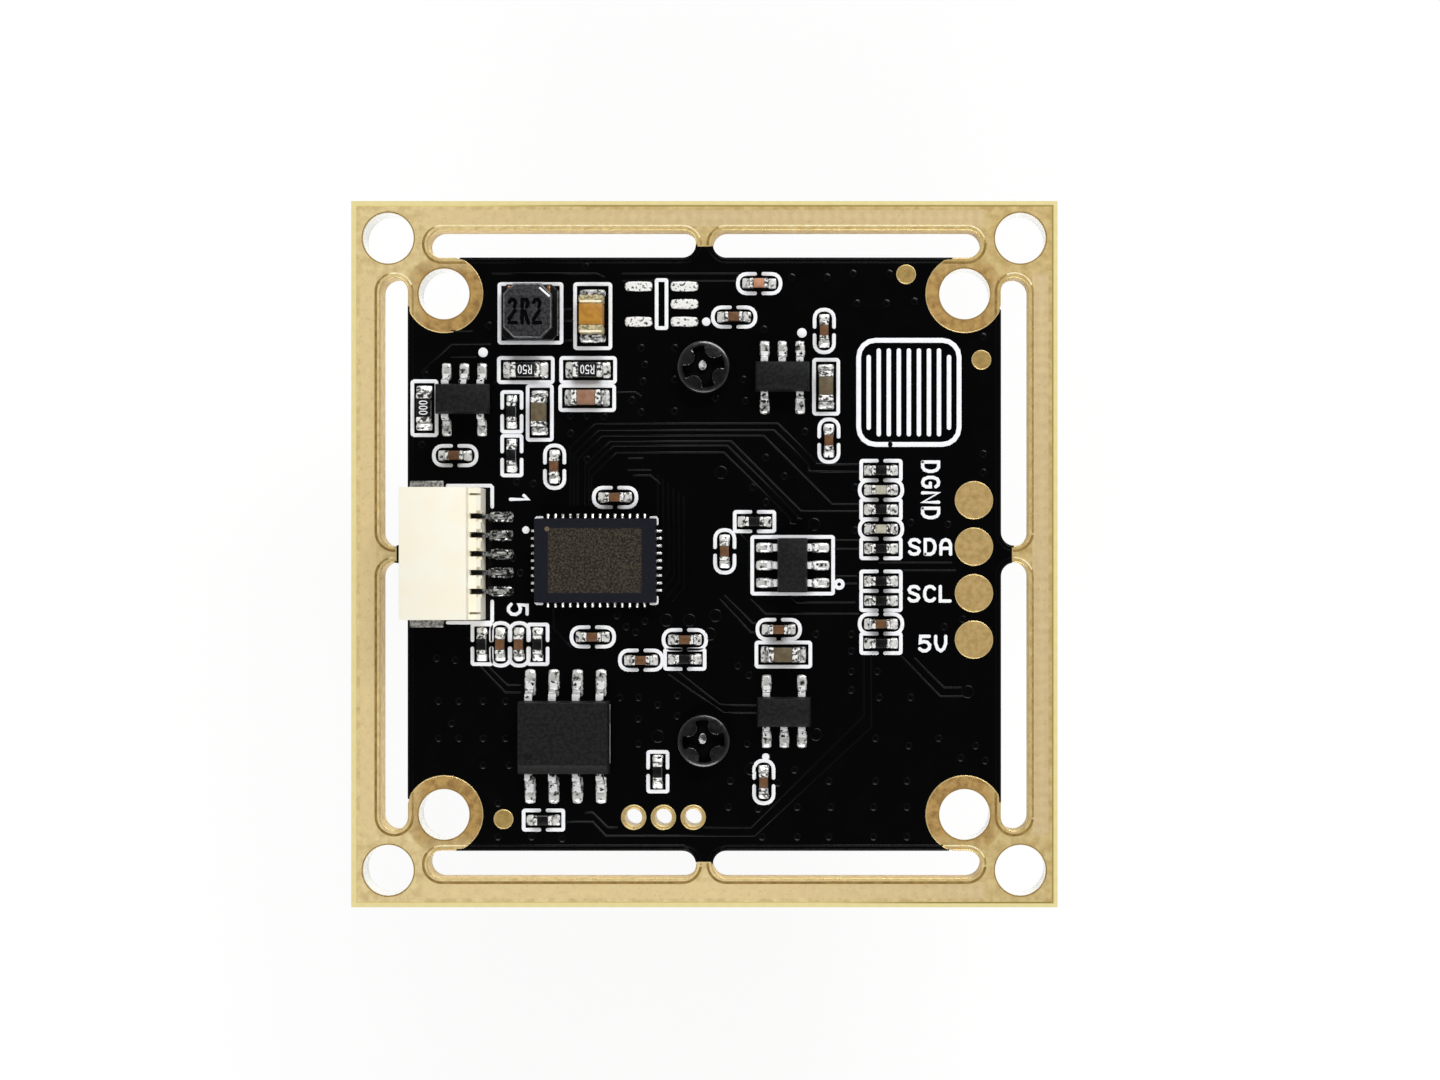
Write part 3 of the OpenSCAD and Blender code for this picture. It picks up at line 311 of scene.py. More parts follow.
def metal_with_painted_light(name, dark, metallic, rough, patch, relief, seam=(0.36, 0.48), slope=(34, 34, 33),
                 speck=(0.5, 0.58), light=(254, 253, 249), level=(0.5, 0.86)):
    """Tin or solder: painted bright on its flats and painted dark on its slopes, with noise patches of
    painted light and dark reflection.
    """
    look = Finish(name, Metallic=metallic, Specular_IOR_Level=0.6)
    upright = look.axes(look.place.node.outputs["Normal"])[2]
    # Painted reflection: noise patches of the dark and the light colour.
    bright = look.mix(look.spread(look.noise(patch, detail=4.0), *seam), dark, light)
    edges = look.mix(look.spread(look.noise(patch * 0.8, offset=7.0), *speck), slope, light)
    # Painted light and shade: flats take the light colour, slopes the slope colour.
    colour = look.mix(look.spread(look.away(upright), *level), edges, bright)
    return look.made(colour, (patch * 1.3, *rough, 5.0), patch, relief, detail=2.0, offset=9.0)


def contact_finish():
    """Socket contacts: streaky tin on their feet, painted black as shade down in the slots of the socket."""
    look = Finish("contact", Metallic=0.5, Specular_IOR_Level=0.5)
    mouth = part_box("socket_housing")[1].x
    # Painted shade: black where the contacts run into the housing.
    outside = look.spread(look.axes()[0], mouth, mouth + 0.12 * MM)
    streaks = look.spread(look.noise(0.14, detail=4.0, stretch=(0.5, 1, 1)), 0.4, 0.6)
    tin = look.mix(streaks, (26, 26, 26), (196, 196, 192))
    return look.made(look.mix(outside, (9, 9, 9), tin), (0.2, 0.24, 0.4), 0.12, 0.01)


def bridge_finish():
    """Leadless chip: blue-black moulded border round a ground field with fine scratches."""
    look = Finish("bridge", Specular_IOR_Level=0.2)
    low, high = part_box("bridge_chip")
    inside = []
    for i, axis, border in zip((0, 1), look.axes(), (0.75, 0.52)):
        edge = (high[i] - low[i]) / 2 - border * MM
        away = look.away(axis, (low[i] + high[i]) / 2)
        inside.append(look.spread(away, edge + 0.03 * MM, edge - 0.03 * MM))
    speck = look.spread(look.noise(0.1, detail=5.0), 0.42, 0.68)
    scratched = look.mix(speck, (32, 29, 25), (78, 69, 56))
    border = look.mix(look.noise(0.3), (14, 14, 24), (22, 22, 34))
    colour = look.mix(look.math("MULTIPLY", *inside), border, scratched)
    return look.made(colour, (0.1, 0.42, 0.6), 0.07, 0.008, stretch=(1, 1.6, 1))


def ferrite_finish():
    """Sintered ferrite: dark grey and grainy on top, painted nearly black as shade under the top flange, and
    glossier there.
    """
    look = Finish("ferrite", Specular_IOR_Level=0.35)
    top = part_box("inductor_core")[1].z
    # Painted shade: nearly black below the top flange.
    painted_shade_below_top = look.spread(look.axes()[2], top - 0.12 * MM, top - 0.2 * MM)
    grain = look.mix(look.spread(look.noise(0.16, detail=5.0), 0.42, 0.58), (28, 28, 30), (58, 58, 61))
    rough = look.math("SUBTRACT", look.drift(0.2, 0.36, 0.5), look.math("MULTIPLY", painted_shade_below_top, 0.2))
    return look.made(look.mix(painted_shade_below_top, grain, (6, 6, 7)), rough, 0.07, 0.006)


def glass_finish(name, tint, coat):
    """Coated optical glass: clear, with a purple coating reflection painted into its colour, growing towards
    grazing angles.
    """
    look = Finish(name, Transmission_Weight=0.85, IOR=1.6, Roughness=0.02, Coat_Weight=coat,
                  Coat_Tint=srgb(120, 200, 150))
    # Painted reflection: the colour turns purple towards grazing angles.
    facing = look.node("ShaderNodeLayerWeight", Blend=0.35).outputs["Facing"]
    return look.made(look.mix(facing, tint, (150, 90, 170)), None, 2.0, 0.0005, 0.2)


# Two colours, size of their patches, roughness, grain and relief, then any specular level and metal
MOTTLED = {
    # seam is a painted brown shade on the plating's lips and is also the colour of the hole rims; the next
    # row is a painted highlight.
    "seam": ((158, 126, 60), (132, 102, 42), 0.4, (0.45, 0.6), 0.1, 0.002),
    "glint": ((255, 246, 204), (246, 222, 160), 0.3, (0.3, 0.4), 0.1, 0.002),
    "tan_tin": ((206, 194, 152), (128, 116, 80), 0.16, (0.3, 0.5), 0.1, 0.006, 0.6),
    # A pale yellow painted highlight on the large capacitor's ends.
    "painted_highlight_tin": ((255, 250, 226), (255, 238, 196), 0.2, (0.2, 0.3), 0.1, 0.002),
    "anchor": ((196, 194, 188), (112, 110, 105), 0.16, (0.26, 0.4), 0.1, 0.006, 0.5, 0.5),
    "ink": ((255, 255, 255), (248, 250, 255), 0.3, (0.45, 0.6), 0.06, 0.003),
    "ivory": ((255, 251, 234), (255, 248, 226), 1.6, (0.4, 0.5), 0.08, 0.0015),
    "mould": ((27, 27, 28), (11, 11, 13), 0.18, (0.45, 0.62), 0.05, 0.005, 0.22),
    # Light grey on black mould: a painted highlight on a glossy bead.
    "mould_edge_highlight": ((150, 150, 150), (90, 90, 90), 0.8, (0.1, 0.2), 0.2, 0.002, 1.0),
    "ferrite_mark": ((3, 3, 4), (7, 7, 8), 0.2, (0.6, 0.8), 0.05, 0.003, 0.02),
    # Glossy and lighter grey than the ferrite: partly a painted highlight.
    "ferrite_edge_highlight": ((74, 74, 76), (120, 120, 120), 0.2, (0.12, 0.2), 0.1, 0.002, 1.0),
    "copper": ((212, 144, 104), (120, 72, 48), 0.14, (0.22, 0.35), 0.06, 0.002, 0.5, 0.9),
    "brown": ((117, 80, 48), (98, 66, 40), 0.25, (0.35, 0.5)),
    "orange": ((206, 150, 116), (186, 128, 94), 0.25, (0.35, 0.5)),
    "taupe": ((108, 95, 70), (92, 80, 58), 0.3, (0.35, 0.5)),
    "pink": ((160, 120, 94), (144, 106, 82), 0.3, (0.35, 0.5)),
    "ochre": ((192, 138, 52), (172, 118, 42), 0.4, (0.32, 0.45)),
    "bead": ((192, 188, 168), (172, 168, 150), 0.25, (0.4, 0.55), 0.06, 0.004),
    "alumina": ((214, 212, 204), (196, 194, 186), 0.2, (0.5, 0.65)),
    "glaze": ((20, 20, 22), (14, 14, 15), 0.3, (0.2, 0.34), 0.08, 0.003),
    "steel": ((2, 2, 3), (6, 6, 7), 0.4, (0.16, 0.3), 0.2, 0.002, 1.0),
    # Dull and blacker than the steel: painted shade in the screws' crosses.
    "recess": ((1, 1, 1), (3, 3, 3), 0.2, (0.5, 0.7), 0.1, 0.002, 0.05),
    "plastic": ((24, 24, 26), (18, 18, 20), 0.8, (0.5, 0.66), 0.09, 0.012),
    "aluminium": ((22, 22, 24), (30, 30, 33), 0.6, (0.34, 0.46), 0.06, 0.004, 0.5, 0.6),
    "package": ((40, 42, 46), (32, 34, 38), 0.4, (0.5, 0.62)),
    "crystal": ((188, 172, 144), (170, 154, 126), 0.4, (0.5, 0.62)),
    "cut_wall": ((255, 255, 252), (252, 250, 240), 0.2, (0.12, 0.2), 0.2, 0.002, 1.0),
    "silicon": ((58, 68, 100), (90, 62, 110), 1.6, (0.12, 0.2), 0.02, 0.0004, 0.5, 0.6),
}

FINISH = {look.name: look.material for look in (
    lacquer_finish(), gold_finish(), rim_finish(), laminate_finish(),
    contact_finish(), bridge_finish(), ferrite_finish(),
    pad_finish("pad", (210, 178, 117), (190, 158, 98)),
    pad_finish("mark", (190, 160, 96), (168, 138, 78)),
    # Tin and solder finishes below paint their flats light and their slopes dark.
    metal_with_painted_light("solder", (50, 50, 49), 0.45, (0.14, 0.3), 0.24, 0.04, slope=(12, 12, 12)),
    metal_with_painted_light("dark_solder", (26, 26, 26), 0.5, (0.14, 0.26), 0.2, 0.05, seam=(0.5, 0.6),
                 slope=(12, 12, 12), speck=(0.54, 0.6), light=(216, 216, 212)),
    metal_with_painted_light("pad_solder", (66, 66, 65), 0.1, (0.24, 0.4), 0.16, 0.02, seam=(0.38, 0.44)),
    metal_with_painted_light("tin", (110, 106, 94), 0.12, (0.3, 0.45), 0.2, 0.012, seam=(0.34, 0.42)),
    metal_with_painted_light("plated", (38, 36, 32), 0.1, (0.3, 0.45), 0.17, 0.014, seam=(0.45, 0.53)),
    metal_with_painted_light("lead", (8, 8, 7), 0.0, (0.2, 0.35), 0.26, 0.014, seam=(0.4, 0.43),
                 slope=(14, 14, 13), speck=(0.52, 0.56), light=(255, 255, 255), level=(0.35, 0.65)),
    glass_finish("lens_glass", (235, 244, 255), 1.0),
    glass_finish("filter_glass", (196, 226, 240), 0.6),
    *(mottled(name, *row) for name, row in MOTTLED.items()),
)}

# CAD nodes that keep their own mesh, with their finish
PLAIN_NODES = {
    "board_core": "laminate", "gold_plating": "gold", "solder_mask": "lacquer",
    "test_pads": "pad", "alignment_marks": "mark", "wire_eyelets": "rim",
    "infrared_filter": "filter_glass", "front_element": "lens_glass",
    "middle_element": "lens_glass", "rear_element": "lens_glass",
    "aperture_ring": "aluminium", "lens_spacer": "aluminium", "retaining_ring": "aluminium",
    "sensor_package": "package", "sensor_die": "silicon", "sensor_glass": "filter_glass",
    "bridge_contacts": "tin", "inductor_terminals": "tin",
}

# CAD nodes that are only rounded: finish, slot, width of the rounding, segments and shortest edge
ROUNDED_LEADED = {
    **dict.fromkeys(("flash_leads", "regulator_leads", "six_lead_leads"), ("lead", "tinned_metal", 0.03)),
    "socket_contacts": ("contact", "tinned_metal", 0.03),
    "socket_anchors": ("anchor", "tinned_metal", 0.03),
    "regulator_chips": ("mould", "mould_compound", 0.04),
    "six_lead_chip": ("mould", "mould_compound", 0.04),
}
ROUNDED_BODIES = {
    "bridge_chip": ("bridge", "mould_compound", 0.008, 1),
    "socket_housing": ("ivory", "ivory_plastic", 0.03, 2, 1.0),
    "crystal_package": ("crystal", "light_ceramic", 0.06),
    "crystal_lid": ("tin", "tinned_metal", 0.08),
    "inductor_core": ("ferrite", "ferrite", 0.05, 3),
    "inductor_winding": ("copper", "copper_wire", 0.02),
}
ROUNDED_HOLDER = {"lens_holder": ("plastic", "black_plastic", 0.12, 3)}


def dress_nodes():
    for node, finish in PLAIN_NODES.items():
        mesh = NODES[node].data
        mesh.materials.clear()
        mesh.materials.append(FINISH[finish])


def round_nodes(rows):
    for node, row in rows.items():
        softened(node, *row)


# ---- mesh tools

class Shape:
    """Vertices and faces collected in millimetres for one piece."""

    def __init__(self):
        self.verts = []
        self.faces = []
        self.strokes = 0

    def add(self, verts, faces):
        start = len(self.verts)
        self.verts.extend(verts)
        self.faces.extend([[start + i for i in face] for face in faces])

    def grid(self, rows, wrap=False, chosen=lambda row, i: True):
        """Adds a surface through rows of points with as many points in each, or only its chosen faces."""
        count = len(rows[0])
        last = count if wrap else count - 1
        faces = []
        for row in range(len(rows) - 1):
            for i in filter(lambda place: chosen(row, place), range(last)):
                j = (i + 1) % count
                faces.append([row * count + i, row * count + j, (row + 1) * count + j, (row + 1) * count + i])
        self.add([point for row in rows for point in row], faces)

    def piece(self, name, finish, slot, replaces=(), sharp=40):
        """Makes the collected shape one object that rides on the module."""
        mesh = bpy.data.meshes.new(name)
        mesh.from_pydata([[c * MM for c in v] for v in self.verts], [], self.faces)
        mesh.validate()
        return finished(mesh, name, finish, slot, replaces, sharp)


def finished(mesh, name, finish, slot, replaces=(), sharp=40):
    work = bmesh.new()
    work.from_mesh(mesh)
    bmesh.ops.delete(work, geom=[vert for vert in work.verts if not vert.link_faces], context="VERTS")
    bmesh.ops.recalc_face_normals(work, faces=work.faces)
    work.to_mesh(mesh)
    work.free()
    mesh.polygons.foreach_set("use_smooth", [True] * len(mesh.polygons))
    mesh.set_sharp_from_angle(angle=math.radians(sharp))
    mesh.materials.append(FINISH[finish])
    piece = bpy.data.objects.new(name, mesh)
    bpy.context.scene.collection.objects.link(piece)
    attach(piece, BODY)
    if replaces:
        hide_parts(*replaces)
    return piece


def welded(node):
    """A CAD node's points in millimetres, each place once, and its faces over them."""
    mesh = NODES[node].data
    points = np.empty(len(mesh.vertices) * 3)
    mesh.vertices.foreach_get("co", points)
    points = np.round(points.reshape(-1, 3) / MM, 4)
    places, index = np.unique(points, axis=0, return_inverse=True)
    index = index.ravel()
    faces = [[int(index[i]) for i in face.vertices] for face in mesh.polygons]
    return places, [face for face in faces if len(set(face)) > 2]


def solids(node):
    """Lowest and highest corner of each separate solid of a CAD node, in millimetres."""
    places, faces = welded(node)
    parent = list(range(len(places)))

    def root(i):
        while parent[i] != i:
            parent[i] = parent[parent[i]]
            i = parent[i]
        return i
    for face in faces:
        for other in face[1:]:
            parent[root(other)] = root(face[0])
    groups = {}
    for i, place in enumerate(places):
        groups.setdefault(root(i), []).append(place)
    return [(np.min(group, axis=0), np.max(group, axis=0)) for group in groups.values()]


def softened(node, finish, slot, width, segments=2, shortest=0.0):
    """A copy of a CAD node with its edges rounded, which stands for the node."""
    places, faces = welded(node)
    sharp = 35
    mesh = bpy.data.meshes.new(node + "_soft")
    mesh.from_pydata([tuple(p * MM) for p in places], [], faces)
    work = bmesh.new()
    work.from_mesh(mesh)
    bmesh.ops.dissolve_limit(work, angle_limit=math.radians(0.5), verts=work.verts, edges=work.edges)
    edges = [e for e in work.edges if len(e.link_faces) == 2 and e.calc_face_angle() > math.radians(sharp)
             and e.calc_length() >= shortest * MM]
    bevel(work, edges, width * MM, segments)
    work.to_mesh(mesh)
    work.free()
    return finished(mesh, node + "_soft", finish, slot, [node], sharp)


def bevel(work, edges, width, segments):
    bmesh.ops.bevel(work, geom=edges, offset=width, segments=segments, profile=0.5,
                    affect="EDGES", clamp_overlap=True)


def rounded_box(shape, low, high, radius, segments=2):
    """Adds a box with rounded edges between two corners."""
    work = bmesh.new()
    bmesh.ops.create_cube(work, size=1)
    low, high = np.array(low, float), np.array(high, float)
    for vert in work.verts:
        vert.co = Vector((low + high) / 2 + np.array(vert.co) * (high - low))
    bevel(work, list(work.edges), radius, segments)
    work.verts.index_update()
    shape.add([tuple(v.co) for v in work.verts], [[v.index for v in f.verts] for f in work.faces])
    work.free()


def arc(centre, radius, start, stop, steps):
    """Points of an arc, with its angles in degrees."""
    angles = np.radians(np.linspace(start, stop, steps + 1))
    return [(centre[0] + radius * math.cos(a), centre[1] + radius * math.sin(a)) for a in angles]


def turned(points, turn, place=(0, 0)):
    """Points turned about the origin and moved to their place."""
    cos, sin = math.cos(math.radians(turn)), math.sin(math.radians(turn))
    return [(x * cos - y * sin + place[0], x * sin + y * cos + place[1]) for x, y in points]


def rounded_frame(length, width, corner, steps=4):
    """Closed outline of a rectangle with rounded corners, about the origin."""
    x, y = length / 2 - corner, width / 2 - corner
    quarters = (((x, y), 0), ((-x, y), 90), ((-x, -y), 180), ((x, -y), 270))
    return [p for centre, start in quarters for p in arc(centre, corner, start, start + 90, steps)]


def corners(reach):
    """The four corners of a square about the origin."""
    return [(x, y) for x in (-reach, reach) for y in (-reach, reach)]


def circle(centre, radius, z, steps):
    """Points of a ring about a centre; its radius and height may change on the way round."""
    angles = np.linspace(0, CIRCLE, steps, endpoint=False)
    x, y = centre[0] + radius * np.cos(angles), centre[1] + radius * np.sin(angles)
    return list(zip(x, y, z + 0 * angles))


def revolve(shape, centre, profile, steps=16):
    """Turns a profile of (radius, height) about an upright axis."""
    shape.grid([circle(centre, radius, z, steps) for radius, z in profile], wrap=True)


def smooth(low, high, value):
    """Smooth step from 0 at low to 1 at high; low may be the larger."""
    t = np.clip((value - low) / (high - low), 0, 1)
    return t * t * (3 - 2 * t)


def lengthwise(low, high):
    """True where a box is longer along X than along Y."""
    return high[0] - low[0] > high[1] - low[1]


def unit(vector):
    return vector / np.linalg.norm(vector, axis=-1, keepdims=True)


def sweep(shape, path, z, half, profile, closed=False):
    """Runs a profile of (side, height) along a flat path; open ends are rounded.

    Each stroke lies a hair off the one before, so no two surfaces coincide.
    """
    path = np.array(path, float)
    z += 0.0008 * (shape.strokes % 8) * (1 if profile[len(profile) // 2][1] >= 0 else -1)
    shape.strokes += 1
    widths = np.ones(len(path))
    if not closed:
        turns = np.radians(np.linspace(90, 0, 4, endpoint=False))
        first, last = unit(path[0] - path[1]) * half, unit(path[-1] - path[-2]) * half
        head = [path[0] + first * math.sin(a) for a in turns]
        tail = [path[-1] + last * math.sin(a) for a in turns[::-1]]
        path = np.vstack([head, path, tail])
        caps = [max(math.cos(a), 0.02) for a in turns]
        widths = np.array([*caps, *widths, *caps[::-1]])
    ahead = np.roll(path, -1, axis=0) - path
    if not closed:
        ahead[-1] = ahead[-2]
    ahead = unit(ahead)
    behind = np.roll(ahead, 1, axis=0)
    if not closed:
        behind[0] = ahead[0]
    normal = unit((ahead + behind)[:, ::-1] * (-1, 1))
    facing = ahead[:, ::-1] * (-1, 1)
    mitre = np.minimum(1 / np.maximum(np.sum(normal * facing, axis=1), 0.5), 1.6)
    reaches = normal * (half * widths * mitre)[:, None]
    rows = [[(*(point + reach * s), z + up) for s, up in profile] for point, reach in zip(path, reaches)]
    shape.grid(rows + rows[:1] if closed else rows)


def mirrored(*side):
    """Profile from its left foot to its right foot, given from the right foot to the top."""
    return [(-out, up) for out, up in side] + list(side[::-1])


def ink_profile(thick):
    """Flat stroke with soft edges."""
    return mirrored((1, -0.002), (0.96, thick * 0.6), (0.7, thick))


def ridge_profile(height):
    """Flat-topped ridge of a covered track."""
    return mirrored((1, -0.001), (0.8, height * 0.35), (0.45, height))


def bead_profile(radius, steps=8):
    angles = np.linspace(-math.pi, math.pi, steps + 1)
    return [(math.cos(a), radius * math.sin(a)) for a in angles]


def bead_ring(shape, centre, radius, z, half, bead, steps=48):
    """Rounded bead along a full circle."""
    path = arc(centre, radius, 0, 360, steps)[:-1]
    sweep(shape, path, z, half, bead_profile(bead), closed=True)


def pillow(shape, low, high, height, base=0.0, lean=(0.0, 0.0), rise=0.0, square=6, steps=8):
    """Adds a mound of solder over a pad, which may climb by rise towards one side."""
    low, high = np.array(low[:2], float), np.array(high[:2], float)
    middle, half = (low + high) / 2, (high - low) / 2
    ticks = np.sin(np.linspace(-math.pi / 2, math.pi / 2, steps + 1))
    rows = []
    for v in ticks:
        row = []
        for u in ticks:
            edge = (1 - abs(u) ** square) ** 0.5 * (1 - abs(v) ** square) ** 0.5
            squeeze = 1 - 0.12 * (u * v) ** 2
            climb = max(0.0, (1 + u * lean[0] + v * lean[1]) / 2) ** 2.2
            z = base + edge * (height + rise * climb)
            row.append((middle[0] + u * half[0] * squeeze, middle[1] + v * half[1] * squeeze, z))
        rows.append(row)
    shape.grid(rows)


def climb(shape, pad, body, axis, lap, height, base, rise, **form):
    """Adds a mound on a pad that starts lap inside a body and climbs the body's side."""
    low, high = pad[0].copy(), pad[1].copy()
    out = 1 if low[axis] + high[axis] > body[0][axis] + body[1][axis] else -1
    (low if out > 0 else high)[axis] = body[out > 0][axis] - out * lap
    lean = [0.0, 0.0]
    lean[axis] = -out
    pillow(shape, low, high, height, base, lean, rise, **form)


# ---- print

INK_T = 0.02
LINE = 0.1
LETTER_LINE = 0.09

# Strokes of each sign on a field one unit wide and high
GLYPHS = {
    "D": [[(0, 0), (0, 1), (0.55, 1), (0.85, 0.88), (1, 0.62), (1, 0.38), (0.85, 0.12), (0.55, 0), (0, 0)]],
    "G": [[(1, 0.82), (0.8, 0.97), (0.5, 1), (0.18, 0.92), (0, 0.66), (0, 0.34), (0.18, 0.08), (0.5, 0),
           (0.82, 0.05), (1, 0.22), (1, 0.48), (0.6, 0.48)]],
    "N": [[(0, 0), (0, 1), (1, 0), (1, 1)]],
    "S": [[(1, 0.84), (0.8, 0.97), (0.5, 1), (0.18, 0.96), (0, 0.78), (0.12, 0.6), (0.5, 0.5), (0.88, 0.4),
           (1, 0.22), (0.82, 0.04), (0.5, 0), (0.18, 0.03), (0, 0.16)]],
    "A": [[(0, 0), (0, 0.66), (0.18, 0.92), (0.5, 1), (0.82, 0.92), (1, 0.66), (1, 0)], [(0, 0.4), (1, 0.4)]],
    "C": [[(1, 0.84), (0.8, 0.97), (0.5, 1), (0.18, 0.92), (0, 0.66), (0, 0.34), (0.18, 0.08), (0.5, 0),
           (0.8, 0.03), (1, 0.16)]],
    "L": [[(0, 1), (0, 0), (1, 0)]],
    "V": [[(0, 1), (0, 0.5), (0.2, 0.14), (0.5, 0), (0.8, 0.14), (1, 0.5), (1, 1)]],
    "5": [[(0.95, 1), (0.1, 1), (0.05, 0.56), (0.4, 0.64), (0.75, 0.6), (1, 0.4), (0.95, 0.16), (0.65, 0),
           (0.3, 0), (0, 0.14)]],
    "1": [[(0, 0.76), (0.4, 1), (0.4, 0)]],
    "0": [[(0.5, 1), (0.12, 0.86), (0, 0.5), (0.12, 0.14), (0.5, 0), (0.88, 0.14), (1, 0.5), (0.88, 0.86),
           (0.5, 1)]],
    "R": [[(0, 0), (0, 1), (0.6, 1), (0.95, 0.86), (0.95, 0.64), (0.6, 0.5), (0, 0.5)], [(0.5, 0.5), (1, 0)]],
    "2": [[(0, 0.8), (0.2, 0.97), (0.5, 1), (0.85, 0.93), (1, 0.74), (0.9, 0.52), (0, 0), (1, 0)]],
}

# Strokes of the inductor's code, each sign split in two as its worn mould prints it
INDUCTOR_CODE = [
    [(-0.95, 0.44), (-0.86, 0.58), (-0.7, 0.58), (-0.62, 0.42), (-0.68, 0.2)],
    [(-0.66, 0.0), (-0.8, -0.22), (-0.96, -0.46)], [(-0.96, -0.64), (-0.6, -0.64)],
    [(-0.27, 0.6), (-0.27, 0.18)], [(-0.27, 0.58), (-0.02, 0.58), (0.04, 0.4), (-0.02, 0.2)],
    [(-0.27, 0.0), (-0.27, -0.66)], [(-0.12, -0.04), (-0.04, -0.36), (0.06, -0.66)],
    [(0.34, 0.44), (0.42, 0.58), (0.6, 0.58), (0.68, 0.42), (0.62, 0.2)],
    [(0.64, 0.0), (0.5, -0.22), (0.34, -0.46)], [(0.34, -0.64), (0.7, -0.64)],
]


def ink(shape, path, z=TOP, half=LINE, thick=INK_T, closed=False):
    """Printed stroke along a path; a negative thickness prints on the lens face."""
    sweep(shape, path, z, half, ink_profile(thick), closed)


def write(shape, text, centre, height, advance, width, turn, z=TOP, half=LETTER_LINE, thick=INK_T):
    """Writes text about a centre; advance is the step from sign to sign."""
    total = (len(text) - 1) * advance + width
    for i, sign in enumerate(text):
        for stroke in GLYPHS[sign]:
            points = [(i * advance + x * width - total / 2, (y - 0.5) * height) for x, y in stroke]
            ink(shape, turned(points, turn, centre), z, half, thick)


def chip_places(node, ends):
    """Middle of each chip part of a node, and its turn by where its ends lie."""
    end_middles = np.array([(low + high) / 2 for low, high in solids(ends)])
    places = []
    for low, high in solids(node):
        middle = (low + high) / 2
        away = end_middles[np.argmin(np.linalg.norm(end_middles - middle, axis=1))] - middle
        places.append((middle, 0 if abs(away[0]) > abs(away[1]) else 90))
    return places


def part_outline(shape, centre, turn, length, width, corner, gap=0, z=TOP, thick=INK_T):
    """Outline of a part; a gap opens it in the middle of both long sides."""
    if not gap:
        outline = turned(rounded_frame(length, width, corner), turn, centre[:2])
        ink(shape, outline, z, thick=thick, closed=True)
        return
    x = gap / 2 + LINE
    right = [(x, -width / 2)] + arc((length / 2 - corner, corner - width / 2), corner, -90, 0, 4)
    right += arc((length / 2 - corner, width / 2 - corner), corner, 0, 90, 4) + [(x, width / 2)]
    for mirror in (1, -1):
        ink(shape, turned([(mirror * px, py) for px, py in right], turn, centre[:2]), z, thick=thick)


def part_outlines(shape):
    """Outlines round the chip parts, at the parts' own places."""
    styles = {
        "small_capacitors": (2.29, 1.04, 0.45, 0.24), "small_beads": (2.29, 1.04, 0.45, 0.24),
        "small_resistors": (2.13, 1.04, 0.08, 0.24), "medium_capacitors": (2.9, 1.3, 0.1),
        "medium_resistors": (2.9, 1.3, 0.1), "large_capacitor": (3.45, 1.9, 0.1),
    }
    for node, style in styles.items():
        for middle, turn in chip_places(node, node.split("_")[0] + "_terminals"):
            z, thick = (TOP, INK_T) if middle[2] > TOP else (FRONT, -INK_T)
            part_outline(shape, middle, turn, *style, z=z, thick=thick)


def chip_outlines(shape):
    """Outlines of the inductor, the six-lead chip and the empty footprint, and the bridge's corners."""
    part_outline(shape, middle_of("inductor_core"), 0, 3.34, 3.15, 0.08)
    part_outline(shape, middle_of("six_lead_chip"), 0, 4.35, 3.05, 0.08)
    part_outline(shape, middle_of("spare_pads"), 90, 2.58, 0.53, 0.05)
    for x, y in corners(1):
        corner = [(x * 2.92, y * 2.32), (x * 3.2, y * 2.32), (x * 3.27, y * 2.25), (x * 3.27, y * 1.97)]
        ink(shape, turned(corner, 0, middle_of("bridge_chip")), half=0.065)


def legend():
    """White print of the component face and of the lens face."""
    shape = Shape()
    part_outlines(shape)
    chip_outlines(shape)
    for y in (1, -1):
        ink(shape, [(-13.8, y * 3.68), (-11.5, y * 3.68), (-11.41, y * 3.59), (-11.41, y * 2.55)])
    dots = ((-11.9, 10.85, 0.26), (5.25, 11.9, 0.26), (-9.6, 1.3, 0.2), (3.3, -10.9, 0.2), (0.1, 12.5, 0.23))
    for x, y, radius in dots:
        revolve(shape, (x, y), [(radius, TOP), (radius * 0.9, TOP + INK_T), (0.001, TOP + INK_T)], 20)
    ink(shape, arc((7.25, -1.62), 0.2, 0, 345, 16), closed=True)
    for text, *row in (
            ("DGND", (12.17, 3.46), 0.86, 0.83, 0.5, -90), ("SDA", (12.14, 0.39), 0.78, 0.84, 0.52, 0),
            ("SCL", (12.11, -2.13), 0.78, 0.84, 0.52, 0), ("5V", (12.28, -4.81), 0.78, 0.86, 0.54, 0),
            ("1", (-9.95, 2.9), 0.95, 0.5, 0.5, -90), ("5", (-10.03, -2.97), 1.0, 0.6, 0.55, -90)):
        write(shape, text, *row)
    stripes(shape)
    shape.piece("legend_print", "ink", "white_ink", ["legend"])


def stripes(shape):
    """A plain striped label field, upright lines in a rounded frame."""
    left, right, low, high = 8.3, 13.7, 5.9, 11.5
    middle = ((left + right) / 2, (low + high) / 2)
    ink(shape, turned(rounded_frame(right - left, high - low, 0.9), 0, middle), half=0.13, closed=True)
    count = 9
    for i in range(count):
        x = left + (i + 1) * (right - left) / (count + 1)
        inset = 0.9 if i in (0, count - 1) else 0.55
        ink(shape, [(x, low + inset), (x, high - inset)], half=0.12)


# ---- board relief

